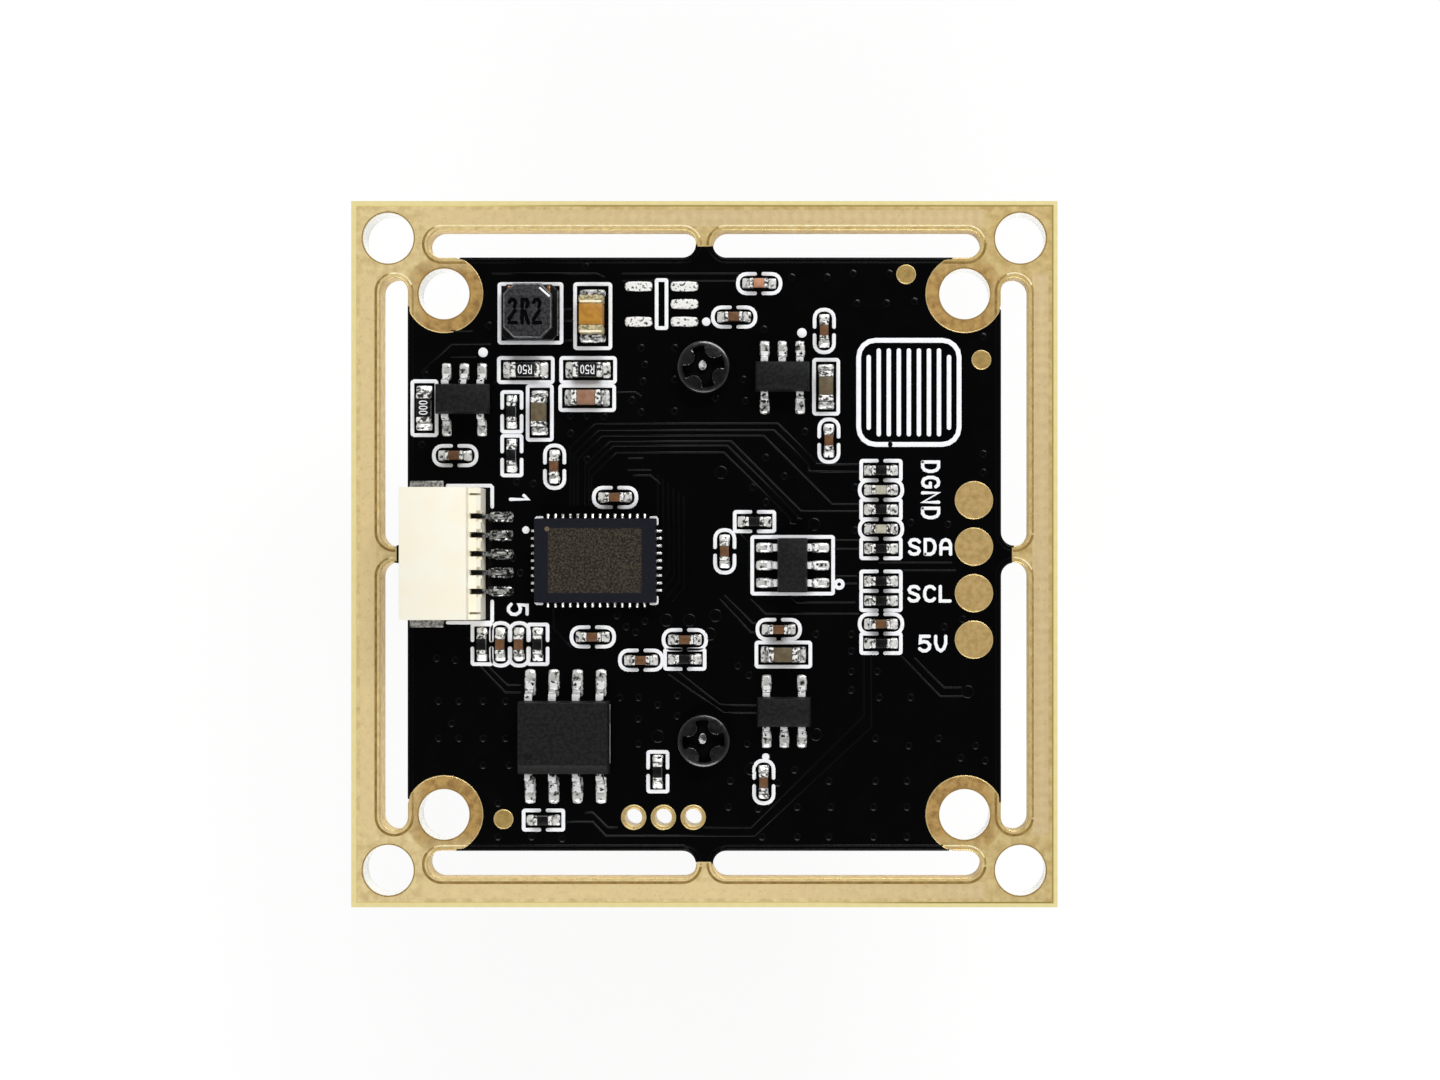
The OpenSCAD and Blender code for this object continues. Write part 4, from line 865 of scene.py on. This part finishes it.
# Copper tracks that show as fine ridges under the lacquer
TRACKS = [
    [(-11.4, 15.1), (-5.8, 15.1), (-5.4, 14.9)], [(-7.5, 13.2), (-7.05, 13.2)],
    [(-7.5, 12.55), (-7.05, 12.55)], [(-7.5, 11.5), (-7.05, 11.5)],
    [(-13.6, 12), (-12.5, 12)], [(-15.2, 9.8), (-13.6, 11.3), (-11.5, 11.3)], [(-13.6, 10.6), (-12.3, 10.6)],
    [(-4.4, 15.1), (1.9, 15.1)], [(-4.4, 14.7), (1.9, 14.7)], [(-4.7, 8.72), (-3.7, 8.72), (-3.4, 8.5)],
    [(-4.1, 5.17), (-3.3, 5.17)], [(-4.1, 4.53), (-2.9, 4.53)], [(-3.8, 4.24), (-2.9, 4.24), (-2.4, 3.8)],
    [(7, 0.76), (8.3, 0.76)], [(7, 0.29), (8.3, 0.29)], [(7.1, -1.18), (8.2, -1.18)],
    [(7.6, -1.58), (8.2, -1.58)], [(9.4, -0.45), (13.3, -0.45)], [(10.7, -0.87), (13.5, -0.87)],
    [(-12.1, -5.6), (-10.6, -7.04), (-9.9, -7.04)], [(-12.5, -5.6), (-10.7, -7.44), (-9.9, -7.44)],
    [(-6.4, -13.9), (-6, -13.9), (-5.2, -14.7), (-4.7, -14.7)],
    [(-7.6, -14.4), (-6, -14.4), (-5.3, -15.15), (2.7, -15.15), (8.97, -9.3), (8.97, -5.4)],
    [(0, -14.7), (2.5, -14.7), (8.57, -8.7), (8.57, -5.4)],
    [(-12.5, -15.67), (-1.1, -15.67), (-0.85, -15.9)], [(0.85, -15.9), (1.1, -15.67), (12.8, -15.67)],
    [(-1.45, -6.3), (0.85, -8.1), (2.8, -8.14)], [(-1.9, -6.5), (1.05, -8.54), (2.8, -8.54)],
    [(2.5, -2.45), (3.3, -3.2), (8.3, -3.2)], [(4.6, -2.25), (5, -2.6), (8.1, -2.6)],
    [(0.85, -2.45), (2.5, -4.2), (2.7, -4.2)], [(1.1, -2.25), (2.6, -3.7), (2.8, -3.7)],
    [(10.6, -5.5), (12.7, -7.64), (13.9, -7.64)], [(11.3, -5.6), (12.9, -7.17), (13.8, -7.17)],
    [(1.9, 1.1), (2.4, 0.6), (2.4, -1.2)], [(-8.1, -2.9), (-8.1, -4), (-7.2, -5)],
]

# Bus from the bridge chip to the right side: height of each run, its left and right end
BUS = ((7.04, -5.9, 3.95), (6.68, -5.7, 3.75), (6.38, -5.5, 3.2), (6.08, -5.1, 1.45), (5.84, -4.9, 1.25),
       (5.48, -4.75, 1.05))
BUS_LANDINGS = ((6.0, 4.84, 8.3), (5.6, 4.44, 8.3), (7.2, 2.7, 8.3), (5.4, 2.32, 8.3), (5.0, 1.9, 5.2),
                (4.6, 1.6, 4.9))

# Vias covered by lacquer
VIAS = [
    (4.7, 14.9), (6.6, 14.9), (8, 15.1), (9.95, 15.1), (8.2, 13.5), (9.8, 13.5), (11.3, 13.6), (15, 11.7),
    (3.2, 12.1), (2.1, 9.4), (0.6, 8.4), (2.2, 8.25), (5.4, 6.6), (3.3, 5.2), (4.3, 4.2), (2.6, 3.6),
    (3.3, 2.8), (8.1, 3.6), (10, 5.9), (15, 5.4), (15, 4.4), (11.1, 1.7), (13.1, 1.6), (8.1, 1.3),
    (-3.4, 11.1), (-1.6, 11.1), (-3.2, 10.2), (-3.3, 9.3), (-1.6, 9.4), (-3.9, 8.3), (-3.4, 7.65),
    (-1.6, 7.7), (-7.2, 7.45), (-6.3, 7.45), (-5.4, 7.4), (-7.2, 6.5), (-6.3, 5.1), (-10.1, 3.9),
    (-9.2, 3.8), (-11.2, 9.1), (-15.2, 5.9), (-15, 9.65), (-11.6, 12.3), (-6.4, 15.5), (-14.4, -5.6),
    (-13.4, -5.7), (-14.3, -7.9), (-13.2, -7.9), (-11.9, -7.9), (-10.7, -7.9), (-13.6, -9.1),
    (-14.3, -9.9), (-13.2, -9.9), (-11.9, -9.9), (-10.7, -9.9), (-11.9, -11.35), (-10.5, -11.35),
    (-11.1, -13.4), (-11.1, -15.2), (-9.3, -15.2), (-7.65, -15.3), (-4.55, -7.7), (-3.55, -7.7),
    (-1.45, -7.6), (-3.55, -8.85), (-1.45, -8.7), (-3.55, -10.2), (-2.5, -8.1), (-4.7, -3.3),
    (-4.2, -3.9), (-3.7, -4.2), (-3.2, -3.6), (-10.3, -0.2), (-9.9, -1), (7.9, -4.3), (6, -4.3),
    (7.9, -5.2), (1.8, -6), (2.4, -6.5), (7.9, -6.3), (9.3, -6.3), (7.9, -7.3), (9.4, -7.7),
    (11.1, -7.7), (9.2, -9.9), (11, -10.3), (12.6, -9.9), (14.6, -10.3), (13.8, -10.95), (15.1, -11.1),
    (4.85, -11.6), (6.7, -12.2), (9.2, -12.2), (10.9, -12.2), (1.4, -12.2), (3.95, -12.3), (1.3, -13.6),
    (2.9, -13.7), (5, -13.6), (6.8, -13.6), (9.1, -13.6), (10.9, -13.6), (3.1, -15.2), (5, -15.2),
    (6.7, -15.2), (9.1, -15.2), (10.9, -15.2), (12.9, -3.9), (13.9, -3.5), (2.3, -10.2),
]
RING_VIAS = [(14.17, -7.4), (6, -9.7), (2.5, -11.55), (-2.5, -9.8), (0.9, 4.4), (5.9, 1.6), (-2.05, -3.55),
             (-0.8, -3.55), (0.3, -4.3), (0.6, -3.3)]


def board_relief():
    """Tracks and covered vias, raised a few hundredths of a millimetre."""
    shape = Shape()
    half, ridge = 0.045, ridge_profile(0.015)
    for track in TRACKS:
        sweep(shape, track, TOP, half, ridge)
    for (y, left, right), (land_x, land_y, end_x) in zip(BUS, BUS_LANDINGS):
        drop = left - 1.3
        slope = min(y - land_y, land_x - right)
        run = [(drop, 2.6), (drop, y - 1.3), (left, y), (right, y), (right + slope, y - slope)]
        sweep(shape, run + [(land_x, land_y), (end_x, land_y)], TOP, half, ridge)
    pitch, upper_step, lower_step = 0.28, 0.25, 0.3
    for step in range(6):
        x, y = -2.5 + pitch * step, -step * lower_step
        run = [(x, 4.3 - step * upper_step), (x, -0.3 + y), (x - 0.6, -1 + y)]
        sweep(shape, run, TOP, 0.04, ridge_profile(0.012))
    dome = ((0.2, 0), (0.16, 0.015), (0.11, 0.029), (0.06, 0.036), (0.005, 0.037))
    ring = ((0.34, 0), (0.3, 0.02), (0.26, 0.022), (0.21, 0.008), (0.005, 0.006))
    for places, profile, steps in ((VIAS, dome, 12), (RING_VIAS, ring, 16)):
        for place in places:
            revolve(shape, place, [(radius, TOP + up) for radius, up in profile], steps)
    shape.piece("board_relief", "lacquer", "black_lacquer", sharp=80)


# ---- gold edges

def in_gold(x, y):
    """True where the face is gold-plated."""
    x, y = abs(x), abs(y)
    if max(x, y) > LACQUER:
        return True
    return min(x, y) > INNER_HOLE or math.hypot(x - INNER_HOLE, y - INNER_HOLE) < RING_R


def beyond_ring(x, y):
    """True where the gold of a corner goes on past the ring, or a slot cuts it."""
    return max(x, y) > SLOT_IN - 0.05 or min(x, y) > INNER_HOLE


def slot_outlines(grow=0.0):
    """Closed outlines of the eight slots, or of slots grown on all sides."""
    radius = SLOT_W / 2
    length, middle = SLOT_REACH - TAB, (SLOT_REACH + TAB) / 2
    outline = rounded_frame(length + 2 * grow, SLOT_W + 2 * grow, (radius + grow) * 0.999, 8)
    dense = []
    for start, stop in zip(outline, outline[1:] + outline[:1]):
        count = max(1, int(math.dist(start, stop) / 0.25))
        dense += [(start[0] + (stop[0] - start[0]) * k / count,
                   start[1] + (stop[1] - start[1]) * k / count) for k in range(count)]
    for side in (0, 90, 180, 270):
        for hand in (-1, 1):
            yield turned([(x + hand * middle, y + SLOT_IN + radius) for x, y in dense], side)


def stretches(outline, marks):
    """Parts of a closed outline along which its points have one mark, as (mark, points)."""
    start = next((i for i in range(len(marks)) if marks[i] != marks[i - 1]), 0)
    parts = []
    for i in range(len(outline)):
        k = (start + i) % len(outline)
        if not parts or parts[-1][0] != marks[k]:
            if parts:
                parts[-1][1].append(outline[k])
            parts.append((marks[k], []))
        parts[-1][1].append(outline[k])
    return parts


def slot_edges():
    """Rounded edges of the slots: gold towards the frame, lacquer towards the board."""
    gold, lacquer = Shape(), Shape()
    for outline in slot_outlines():
        for golden, run in stretches(outline, [in_gold(*p) for p in outline]):
            if len(run) > 2:
                shape, drop, half = (gold, 0.02, 0.045) if golden else (lacquer, 0.03, 0.06)
                sweep(shape, run, TOP - drop, half, bead_profile(0.045))
    gold.piece("slot_rims", "rim", "gold_finish", sharp=80)
    lacquer.piece("slot_lacquer", "lacquer", "black_lacquer", sharp=80)


def frame_lips_painted_light():
    """Lip of the plating round the slots: a painted highlight where it faces the lower left, painted half
    shade and painted brown shade elsewhere.
    """
    # Lip colours are painted light: lit is a painted highlight, faint a painted half shade in the marks'
    # gold, brown a painted shade.
    lips = {
        "lit": (Shape(), 0.04, 0.01, "lip_glints", "glint", "gold_finish"),
        "faint": (Shape(), 0.05, 0.004, "lip_lines", "mark", "gold_finish"),
        "brown": (Shape(), 0.07, 0.005, "lip_seams", "seam", "gold_finish"),
        "lacquer": (Shape(), 0.04, 0.02, "lip_lacquer", "lacquer", "black_lacquer"),
    }
    lip, lit_above, half_lit_above = 0.22, 0.75, 0.3
    for outline in slot_outlines(lip):
        ahead = unit(np.roll(outline, -1, axis=0) - np.roll(outline, 1, axis=0))
        marks = []
        for point, (along_x, along_y) in zip(outline, ahead):
            # The way each stretch faces picks its painted light or shade.
            light = along_y * 0.5 - along_x
            shade = "lit" if light > lit_above else "faint" if light > half_lit_above else "brown"
            marks.append(shade if in_gold(*point) else "lacquer")
        for mark, run in stretches(outline, marks):
            shape, half, height = lips[mark][:3]
            run = [point for point in run if in_gold(*point) == (mark != "lacquer")]
            if len(run) > 1:
                ink(shape, run, TOP, half, height)
    for shape, _, _, *names in lips.values():
        shape.piece(*names, sharp=80)


def gold_edges():
    """Rounded bright edges of the plating: rings, holes and pads."""
    shape = Shape()
    for centre in corners(INNER_HOLE):
        ring = arc(centre, RING_R, 0, 360, 96)[:-1]
        for bare, run in stretches(ring, [beyond_ring(abs(x), abs(y)) for x, y in ring]):
            if not bare and len(run) > 2:
                sweep(shape, run, TOP - 0.005, 0.03, bead_profile(0.02))
    for low, high in solids("test_pads") + solids("alignment_marks"):
        bead_ring(shape, (low + high)[:2] / 2, (high - low)[0] / 2, TOP, 0.03, 0.015)
    for low, high in solids("wire_eyelets"):
        centre, radius = (low + high)[:2] / 2, (high - low)[0] / 2
        bead_ring(shape, centre, radius - 0.03, TOP, 0.035, 0.02, 40)
        bead_ring(shape, centre, 0.5, TOP - 0.01, 0.045, 0.035, 40)
    shape.piece("gold_edges", "rim", "gold_finish", sharp=80)


def hole_walls():
    """Pale routed walls of the eight round holes, with the rolled edge of the gold on both faces."""
    walls, rims = Shape(), Shape()
    inner = HOLE_R - 0.012
    for centre in corners(FRAME_HOLE) + corners(INNER_HOLE):
        revolve(walls, centre, [(inner, TOP - 0.04), (inner, FRONT + 0.04)], 64)
        for face, up in ((TOP, 1), (FRONT, -1)):
            edge = ((HOLE_R + 0.06, 0.003), (HOLE_R + 0.02, 0.006), (HOLE_R - 0.01, -0.012), (inner, -0.04))
            revolve(rims, centre, [(radius, face + up * rise) for radius, rise in edge], 64)
    walls.piece("hole_walls", "cut_wall", "laminate", sharp=60)
    rims.piece("hole_rims", "seam", "gold_finish", sharp=80)


# ---- chip parts

def chip_bodies():
    """Ceramic bodies with softly rounded edges, sorted by their colour."""
    shapes = {name: Shape() for name in ("brown", "orange", "taupe", "pink")}
    top_row = 14
    for low, high in solids("small_capacitors"):
        rounded_box(shapes["orange" if low[1] > top_row else "brown"], low, high, 0.03)
    for low, high in solids("medium_capacitors"):
        pinkish = lengthwise(low, high) and low[1] > 0
        rounded_box(shapes["pink" if pinkish else "taupe"], low, high, 0.04)
    shapes["brown"].piece("brown_chips", "brown", "brown_ceramic", ["small_capacitors"])
    shapes["orange"].piece("orange_chip", "orange", "brown_ceramic")
    shapes["taupe"].piece("taupe_chips", "taupe", "grey_brown_ceramic", ["medium_capacitors"])
    shapes["pink"].piece("pink_chip", "pink", "grey_brown_ceramic")
    for node, finish, slot, radius in (("small_beads", "bead", "grey_ceramic", 0.03),
                                       ("large_capacitor", "ochre", "ochre_ceramic", 0.05)):
        shape = Shape()
        for low, high in solids(node):
            rounded_box(shape, low, high, radius)
        shape.piece(node + "_round", finish, slot, [node])


def resistors():
    """Alumina blocks with a glaze that laps over their edges; the larger ones carry a value code."""
    blocks, coats, codes = Shape(), Shape(), Shape()
    thick, lap = 0.02, 0.004
    for node in ("small_resistors", "medium_resistors"):
        for low, high in solids(node):
            rounded_box(blocks, low, high - (0, 0, thick), 0.02)
            rounded_box(coats, (low[0] - lap, low[1] - lap, high[2] - 6 * thick),
                        high + (lap, lap, thick), thick * 0.8)
            if node == "medium_resistors":
                text, turn = ("R50", 180) if lengthwise(low, high) else ("000", 90)
                middle = (low + high)[:2] / 2
                write(codes, text, middle, 0.44, 0.27, 0.17, turn, high[2] + thick, 0.026, 0.006)
    blocks.piece("resistor_blocks", "alumina", "light_ceramic", ["small_resistors", "medium_resistors"])
    coats.piece("resistor_coats", "glaze", "black_glaze")
    codes.piece("resistor_codes", "ink", "white_ink")


def chip_ends():
    """Plated ends of all chip parts; those of the large capacitor are tan, with a pale stroke painted as a
    highlight along their lower edge.
    """
    shape, tan, painted_edge_highlight = Shape(), Shape(), Shape()
    for node, radius in (("small_terminals", 0.06), ("medium_terminals", 0.08)):
        for low, high in solids(node):
            rounded_box(shape, low, high, radius, 3)
    for low, high in solids("large_terminals"):
        rounded_box(tan, low, high, 0.1, 3)
        # Painted highlight: a pale stroke along the lower edge of each large end.
        y = low[1] + 0.09
        ink(painted_edge_highlight, [(low[0] + 0.12, y), (high[0] - 0.12, y)], high[2], 0.06, 0.008)
    shape.piece("chip_ends", "plated", "tinned_metal", ["small_terminals", "medium_terminals"])
    tan.piece("large_ends", "tan_tin", "tinned_metal", ["large_terminals"])
    painted_edge_highlight.piece("large_end_painted_highlights", "painted_highlight_tin", "tinned_metal")


def chip_solder():
    """Solder that climbs the end of each chip part in a hollow slope."""
    shape = Shape()
    ends = [box for size in ("small", "medium", "large") for box in solids(size + "_terminals")]
    middles = np.array([(low + high) / 2 for low, high in ends])
    for pad in solids("chip_solder"):
        middle = (pad[0] + pad[1]) / 2
        away = middle - middles
        nearest = int(np.argmin(np.linalg.norm(away, axis=1)))
        x, y, _ = abs(away[nearest])
        base, up = (TOP, 1) if middle[2] > TOP else (FRONT, -1)
        rise = (ends[nearest][1] - ends[nearest][0])[2] * 0.62
        climb(shape, pad, ends[nearest], 0 if x > y else 1, 0.04, up * 0.06, base, up * rise)
    shape.piece("chip_fillets", "solder", "solder", ["chip_solder"], sharp=80)


# ---- leaded parts

def lead_fillets():
    """Solder mounds at the leads, contacts and bare pads."""
    shape, feet, bare = Shape(), Shape(), Shape()
    bridge = box_mm("bridge_chip")
    contacts_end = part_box("socket_contacts")[1].x / MM + 0.7
    longest, slim, trim, socket_reach = 2, 0.25, 0.02, 3
    for low, high in solids("lead_solder"):
        size = (high - low)[:2]
        if max(size) > longest:
            continue
        if min(size) < slim:
            axis = 0 if lengthwise(low, high) else 1
            inset = np.array((0, trim, 0) if axis == 0 else (trim, 0, 0))
            climb(shape, (low + inset, high - inset), bridge, axis, 0.03, 0.05, TOP, 0.16, square=3)
        else:
            at_socket = high[0] < contacts_end and abs(low[1] + high[1]) / 2 < socket_reach
            pillow(feet if at_socket else shape, low, high, 0.13, TOP, square=5 if at_socket else 3)
    for low, high in solids("spare_pads"):
        pillow(bare, low, high, 0.09, TOP, square=14, steps=12)
    shape.piece("lead_fillets", "solder", "solder", ["lead_solder"], sharp=80)
    feet.piece("socket_feet", "dark_solder", "solder", sharp=80)
    bare.piece("spare_tinning", "pad_solder", "solder", ["spare_pads"], sharp=80)


def block_ring(low, high, inset, front_inset, corner, z):
    """Rounded rectangle of points at one height, its -Y side set in further."""
    length = high[0] - low[0] - 2 * inset
    width = high[1] - low[1] - inset - front_inset
    middle = ((low[0] + high[0]) / 2, (low[1] + high[1] + front_inset - inset) / 2)
    return [(x, y, z) for x, y in turned(rounded_frame(length, width, corner), 0, middle)]


def flash_body():
    """Moulded body whose lower long edge is bevelled."""
    low, high = box_mm("flash_chip")
    band = (low.z + high.z) / 2
    sides = [(0.4, 0.4, 0.04, low.z), (0.08, 0.08, 0.06, low.z)]
    sides += [(0, 0, 0.06, band - 0.12), (0, 0, 0.06, band + 0.12)]
    bevel_steps = ((0.05, 0.12, 0.2), (0.065, 0.42, 0.045), (0.08, 0.47, 0.015), (0.11, 0.51, 0.002),
                   (0.16, 0.56, 0.0), (0.6, 0.95, 0.0), (1.8, 1.9, 0.0))
    sides += [(inset, front, 0.05, high.z - drop) for inset, front, drop in bevel_steps]
    rows = [block_ring(low, high, *side) for side in sides]
    shape = Shape()
    shape.grid(rows, wrap=True)
    count = len(rows[0])
    for row in (0, len(rows) - 1):
        shape.faces.append([row * count + i for i in range(count)])
    shape.piece("flash_body", "mould", "mould_compound", ["flash_chip"], sharp=50)


def chip_marks():
    """First-pin marks moulded or printed on the chips, and the flash's glossy mould seam, painted light grey
    as a highlight.
    """
    dimple, seam, dot = Shape(), Shape(), Shape()
    low, high = box_mm("flash_chip")
    dip = ((0.24, 0.001), (0.22, 0.006), (0.18, 0.004), (0.005, 0.0015))
    revolve(dimple, (low.x + 0.62, low.y + 0.98), [(radius, high.z + up) for radius, up in dip], 24)
    x = high.x - 0.02
    # Painted highlight: a light grey glossy bead along the right edge.
    sweep(seam, [(x, low.y + 0.6), (x, high.y - 0.2)], (low.z + high.z) / 2, 0.05, bead_profile(0.04))
    low, high = box_mm("bridge_chip")
    raised = high.z + 0.004
    revolve(dot, (low.x + 0.69, high.y - 0.56), [(0.13, high.z), (0.12, raised), (0.005, raised)], 20)
    dimple.piece("flash_dimple", "glaze", "mould_compound", sharp=80)
    seam.piece("flash_seam_highlight", "mould_edge_highlight", "mould_compound", sharp=80)
    dot.piece("bridge_dot", "taupe", "mould_compound", sharp=80)


def inductor_marks():
    """Value code pressed into the ferrite, the print beside it, and the glossy edge of the top, painted
    lighter grey than the ferrite as a highlight.
    """
    high = box_mm("inductor_core")[1]
    middle = middle_of("inductor_core")
    code, bar, rim = Shape(), Shape(), Shape()
    for stroke in INDUCTOR_CODE:
        ink(code, turned(stroke, 0, middle), high.z + 0.001, thick=0.01)
    ink(bar, turned([(0.68, 1.2), (1.16, 0.78)], 0, middle), high.z, 0.055, 0.008)
    x, y, cut = 1.24, 1.41, 0.54
    outline = [(x - cut, y), (cut - x, y), (-x, y - cut), (-x, cut - y), (cut - x, -y), (x - cut, -y),
               (x, cut - y), (x, y - cut)]
    # Painted highlight: the glossy edge bead is lighter grey than the ferrite.
    sweep(rim, turned(outline, 0, middle), high.z - 0.025, 0.035, bead_profile(0.035), closed=True)
    code.piece("inductor_code", "ferrite_mark", "ferrite")
    bar.piece("inductor_bar", "ink", "white_ink", sharp=80)
    rim.piece("inductor_rim_highlight", "ferrite_edge_highlight", "ferrite", sharp=80)


# ---- lens side

def lens_barrel():
    """Lens barrel turned with its thread: a profile swept round, with flutes and one winding groove."""
    steps, flutes, pitch, depth = 240, 30, 0.5, 0.26
    high = box_mm("lens_barrel")[1]
    thread_r, head_r, head_h = 5.94, high.x, 4.0
    turn = np.linspace(0, 1, steps, endpoint=False)
    flute = 0.2 * np.maximum(0, np.cos(flutes * CIRCLE * turn)) ** 2
    rings = [(5.1, 1.2), (5.7, 0.0), (head_r - 0.3, 0.0)]
    for z, inset, share in ((0.1, 0.1, 0), (0.3, 0, 0), (0.85, 0, 0), (1.05, 0, 1), (2.95, 0, 1),
                            (3.15, 0, 0), (3.7, 0, 0), (3.9, 0.1, 0)):
        rings.append((head_r - inset - share * flute, z))
    rings += [(head_r - 0.3, head_h), (thread_r - 0.4, head_h), (thread_r - 0.4, head_h + 0.4)]
    for z in np.arange(head_h + 0.5, high.z - 0.4, pitch / 8):
        rings.append((thread_r - depth * abs(2 * ((z / pitch - turn) % 1) - 1), z))
    rings += [(thread_r - 0.5, high.z), (3.3, high.z), (3.3, high.z - 1), (4.0, high.z - 1), (4.0, 5.0),
              (5.1, 5.0)]
    shape = Shape()
    revolve(shape, (0, 0), rings + rings[:1], steps)
    shape.piece("lens_barrel_turned", "aluminium", "black_aluminium", ["lens_barrel"], sharp=50)


def screws():
    """Two pan heads with a soft cross between four rounded lobes, on their shanks; the sunk faces of the
    cross are dull and blacker as painted shade.

    A pip of metal stands in the middle of each cross, a little aside, as in the photo.
    """
    heads, recesses = Shape(), Shape()
    steps, shank = 120, 0.8
    lobe, lobe_r, depth, pip_x, pip_y = 0.78, 0.52, 0.55, 0.06, -0.1
    angles = np.linspace(0, CIRCLE, steps, endpoint=False)
    shares = [0.002, *np.linspace(0.04, 0.88, 40), 0.92, 0.945, 0.965, 0.98, 0.992, 1.0]
    for low, high in solids("lens_screws"):
        middle, radius = (low + high)[:2] / 2, (high - low)[0] / 2
        turn = math.radians(15 if middle[1] > 0 else 4)
        rows, sunk = [], []
        for share in shares:
            r = share * radius
            crown = high[2] - 0.16 * share ** 2 - 0.3 * max(share - 0.9, 0.0)
            crown -= 0.26 * max((share - 0.966) / 0.034, 0.0) ** 2
            u, v = abs(r * np.cos(angles - turn)), abs(r * np.sin(angles - turn))
            cross = smooth(-0.04, 0.06, np.hypot(u - lobe, v - lobe) - lobe_r) * smooth(1.14, 1.04, r)
            aside, along = r * np.cos(angles) + pip_x, r * np.sin(angles) + pip_y
            pip = smooth(0.27, 0.21, np.hypot(aside, along * 0.8))
            z = crown - cross * (depth - 0.16 * r) + pip * (0.14 - 0.16 * aside - 0.42 * along)
            rows.append(circle(middle, r, z, steps))
            # Painted shade: sunk faces of the cross get a dull, blacker finish.
            sunk.append((cross > 0.5) & (pip < 0.9))
        recesses.grid(rows, wrap=True, chosen=lambda row, i: sunk[row][i])
        for r, z in ((radius, TOP + 0.001), (shank, TOP + 0.001), (shank, low[2] + 0.2),
                     (shank - 0.2, low[2]), (0.002, low[2])):
            rows.append(circle(middle, r, z, steps))
            sunk.append([False] * steps)
        heads.grid(rows, wrap=True, chosen=lambda row, i: not sunk[row][i])
    heads.piece("screws", "steel", "black_steel", ["lens_screws"], sharp=50)
    recesses.piece("screw_recesses", "recess", "black_steel", sharp=50)


# ---- room

def placed(name, data):
    """A new object in the scene."""
    thing = bpy.data.objects.new(name, data)
    bpy.context.scene.collection.objects.link(thing)
    return thing


def camera():
    """Looks straight down from beside the middle; the shift puts the board back into the picture."""
    height = 128.0
    data = bpy.data.cameras.new("camera")
    data.sensor_width = 36.0
    data.lens = 59.5
    data.shift_x = -0.0795
    data.shift_y = 0.0292
    data.clip_start = 0.001
    lens = placed("camera", data)
    lens.location = (7.0 * MM, -1.5 * MM, (TOP + height) * MM)
    bpy.context.scene.camera = lens


def softbox(name, place, size, radiance):
    """Rectangular lamp that faces the module."""
    data = bpy.data.lights.new(name, "AREA")
    data.shape = "RECTANGLE"
    data.size, data.size_y = size
    data.energy = radiance * math.pi * size[0] * size[1]
    lamp = placed(name, data)
    lamp.location = place
    lamp.rotation_euler = (Vector((0, 0, TOP * MM)) - Vector(place)).to_track_quat("-Z", "Y").to_euler()


def world():
    """Soft grey room, dark overhead, white where the camera looks past everything."""
    scene_world = bpy.data.worlds.new("room")
    bpy.context.scene.world = scene_world
    look = Look(scene_world, "Background", "Generated")
    ramp = look.node("ShaderNodeValToRGB")
    stops = ((0.0, 1.0), (0.35, 0.5), (0.8, 0.27), (0.93, 0.1), (1.0, 0.05))
    elements = ramp.color_ramp.elements
    for position, _ in stops[1:-1]:
        elements.new(position)
    for (position, value), stop in zip(stops, elements):
        stop.position, stop.color = position, (value, value, value, 1)
    look.link(look.axes()[2], ramp.inputs[0])
    look.set("Color", look.mix(look.seen("Camera", "Transmission"), ramp.outputs[0], (255, 255, 255)))


def floor():
    """Pale floor that the camera and reflections see as white, and that keeps a soft shadow.

    It shows only from above, so a look from below meets the module itself.
    """
    half, level = 2.5, -0.02 * MM
    mesh = bpy.data.meshes.new("floor")
    mesh.from_pydata([(x * half, y * half, level) for x, y in ((-1, -1), (1, -1), (1, 1), (-1, 1))], [],
                     [[0, 1, 2, 3]])
    look = Finish("floor", Base_Color=(0.96, 0.96, 0.96, 1), Roughness=0.9, Specular_IOR_Level=0.0)
    glow = look.node("ShaderNodeEmission", Color=(1, 1, 1, 1), Strength=1.03)
    seen = look.math("MAXIMUM", look.seen("Camera", "Glossy"), look.seen("Transmission"))
    away = look.node("ShaderNodeVectorMath", operation="LENGTH")
    look.link(look.place, away.inputs[0])
    share = look.spread(away.outputs["Value"], 0.04, 0.25, 0.85, 1.0)
    surface = look.shader.outputs[0]
    for factor, shader in ((look.math("MULTIPLY", seen, share), glow),
                           (look.node("ShaderNodeNewGeometry").outputs["Backfacing"],
                            look.node("ShaderNodeBsdfTransparent"))):
        mixed = look.node("ShaderNodeMixShader")
        for source, socket in zip((factor, surface, shader.outputs[0]), mixed.inputs):
            look.link(source, socket)
        surface = mixed.outputs[0]
    look.link(surface, look.tree.nodes["Material Output"].inputs["Surface"])
    mesh.materials.append(look.material)
    placed("floor", mesh)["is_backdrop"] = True


def room():
    bpy.context.scene.view_settings.view_transform = "Standard"
    world()
    floor()
    softbox("key", (0.1, 0.26, 0.26), (0.3, 0.1), 9.8)
    softbox("fill", (-0.02, -0.27, 0.26), (0.3, 0.1), 6.1)
    camera()


def write_sizes():
    boxes = {"cad": CAD_BOX, "visual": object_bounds()}
    {name: [list(corner) for corner in box] for name, box in boxes.items()}


room()
dress_nodes()
legend()
board_relief()
slot_edges()
frame_lips_painted_light()
gold_edges()
hole_walls()
chip_bodies()
resistors()
chip_ends()
chip_solder()
lead_fillets()
round_nodes(ROUNDED_LEADED)
flash_body()
chip_marks()
round_nodes(ROUNDED_BODIES)
inductor_marks()
round_nodes(ROUNDED_HOLDER)
screws()
lens_barrel()
write_sizes()
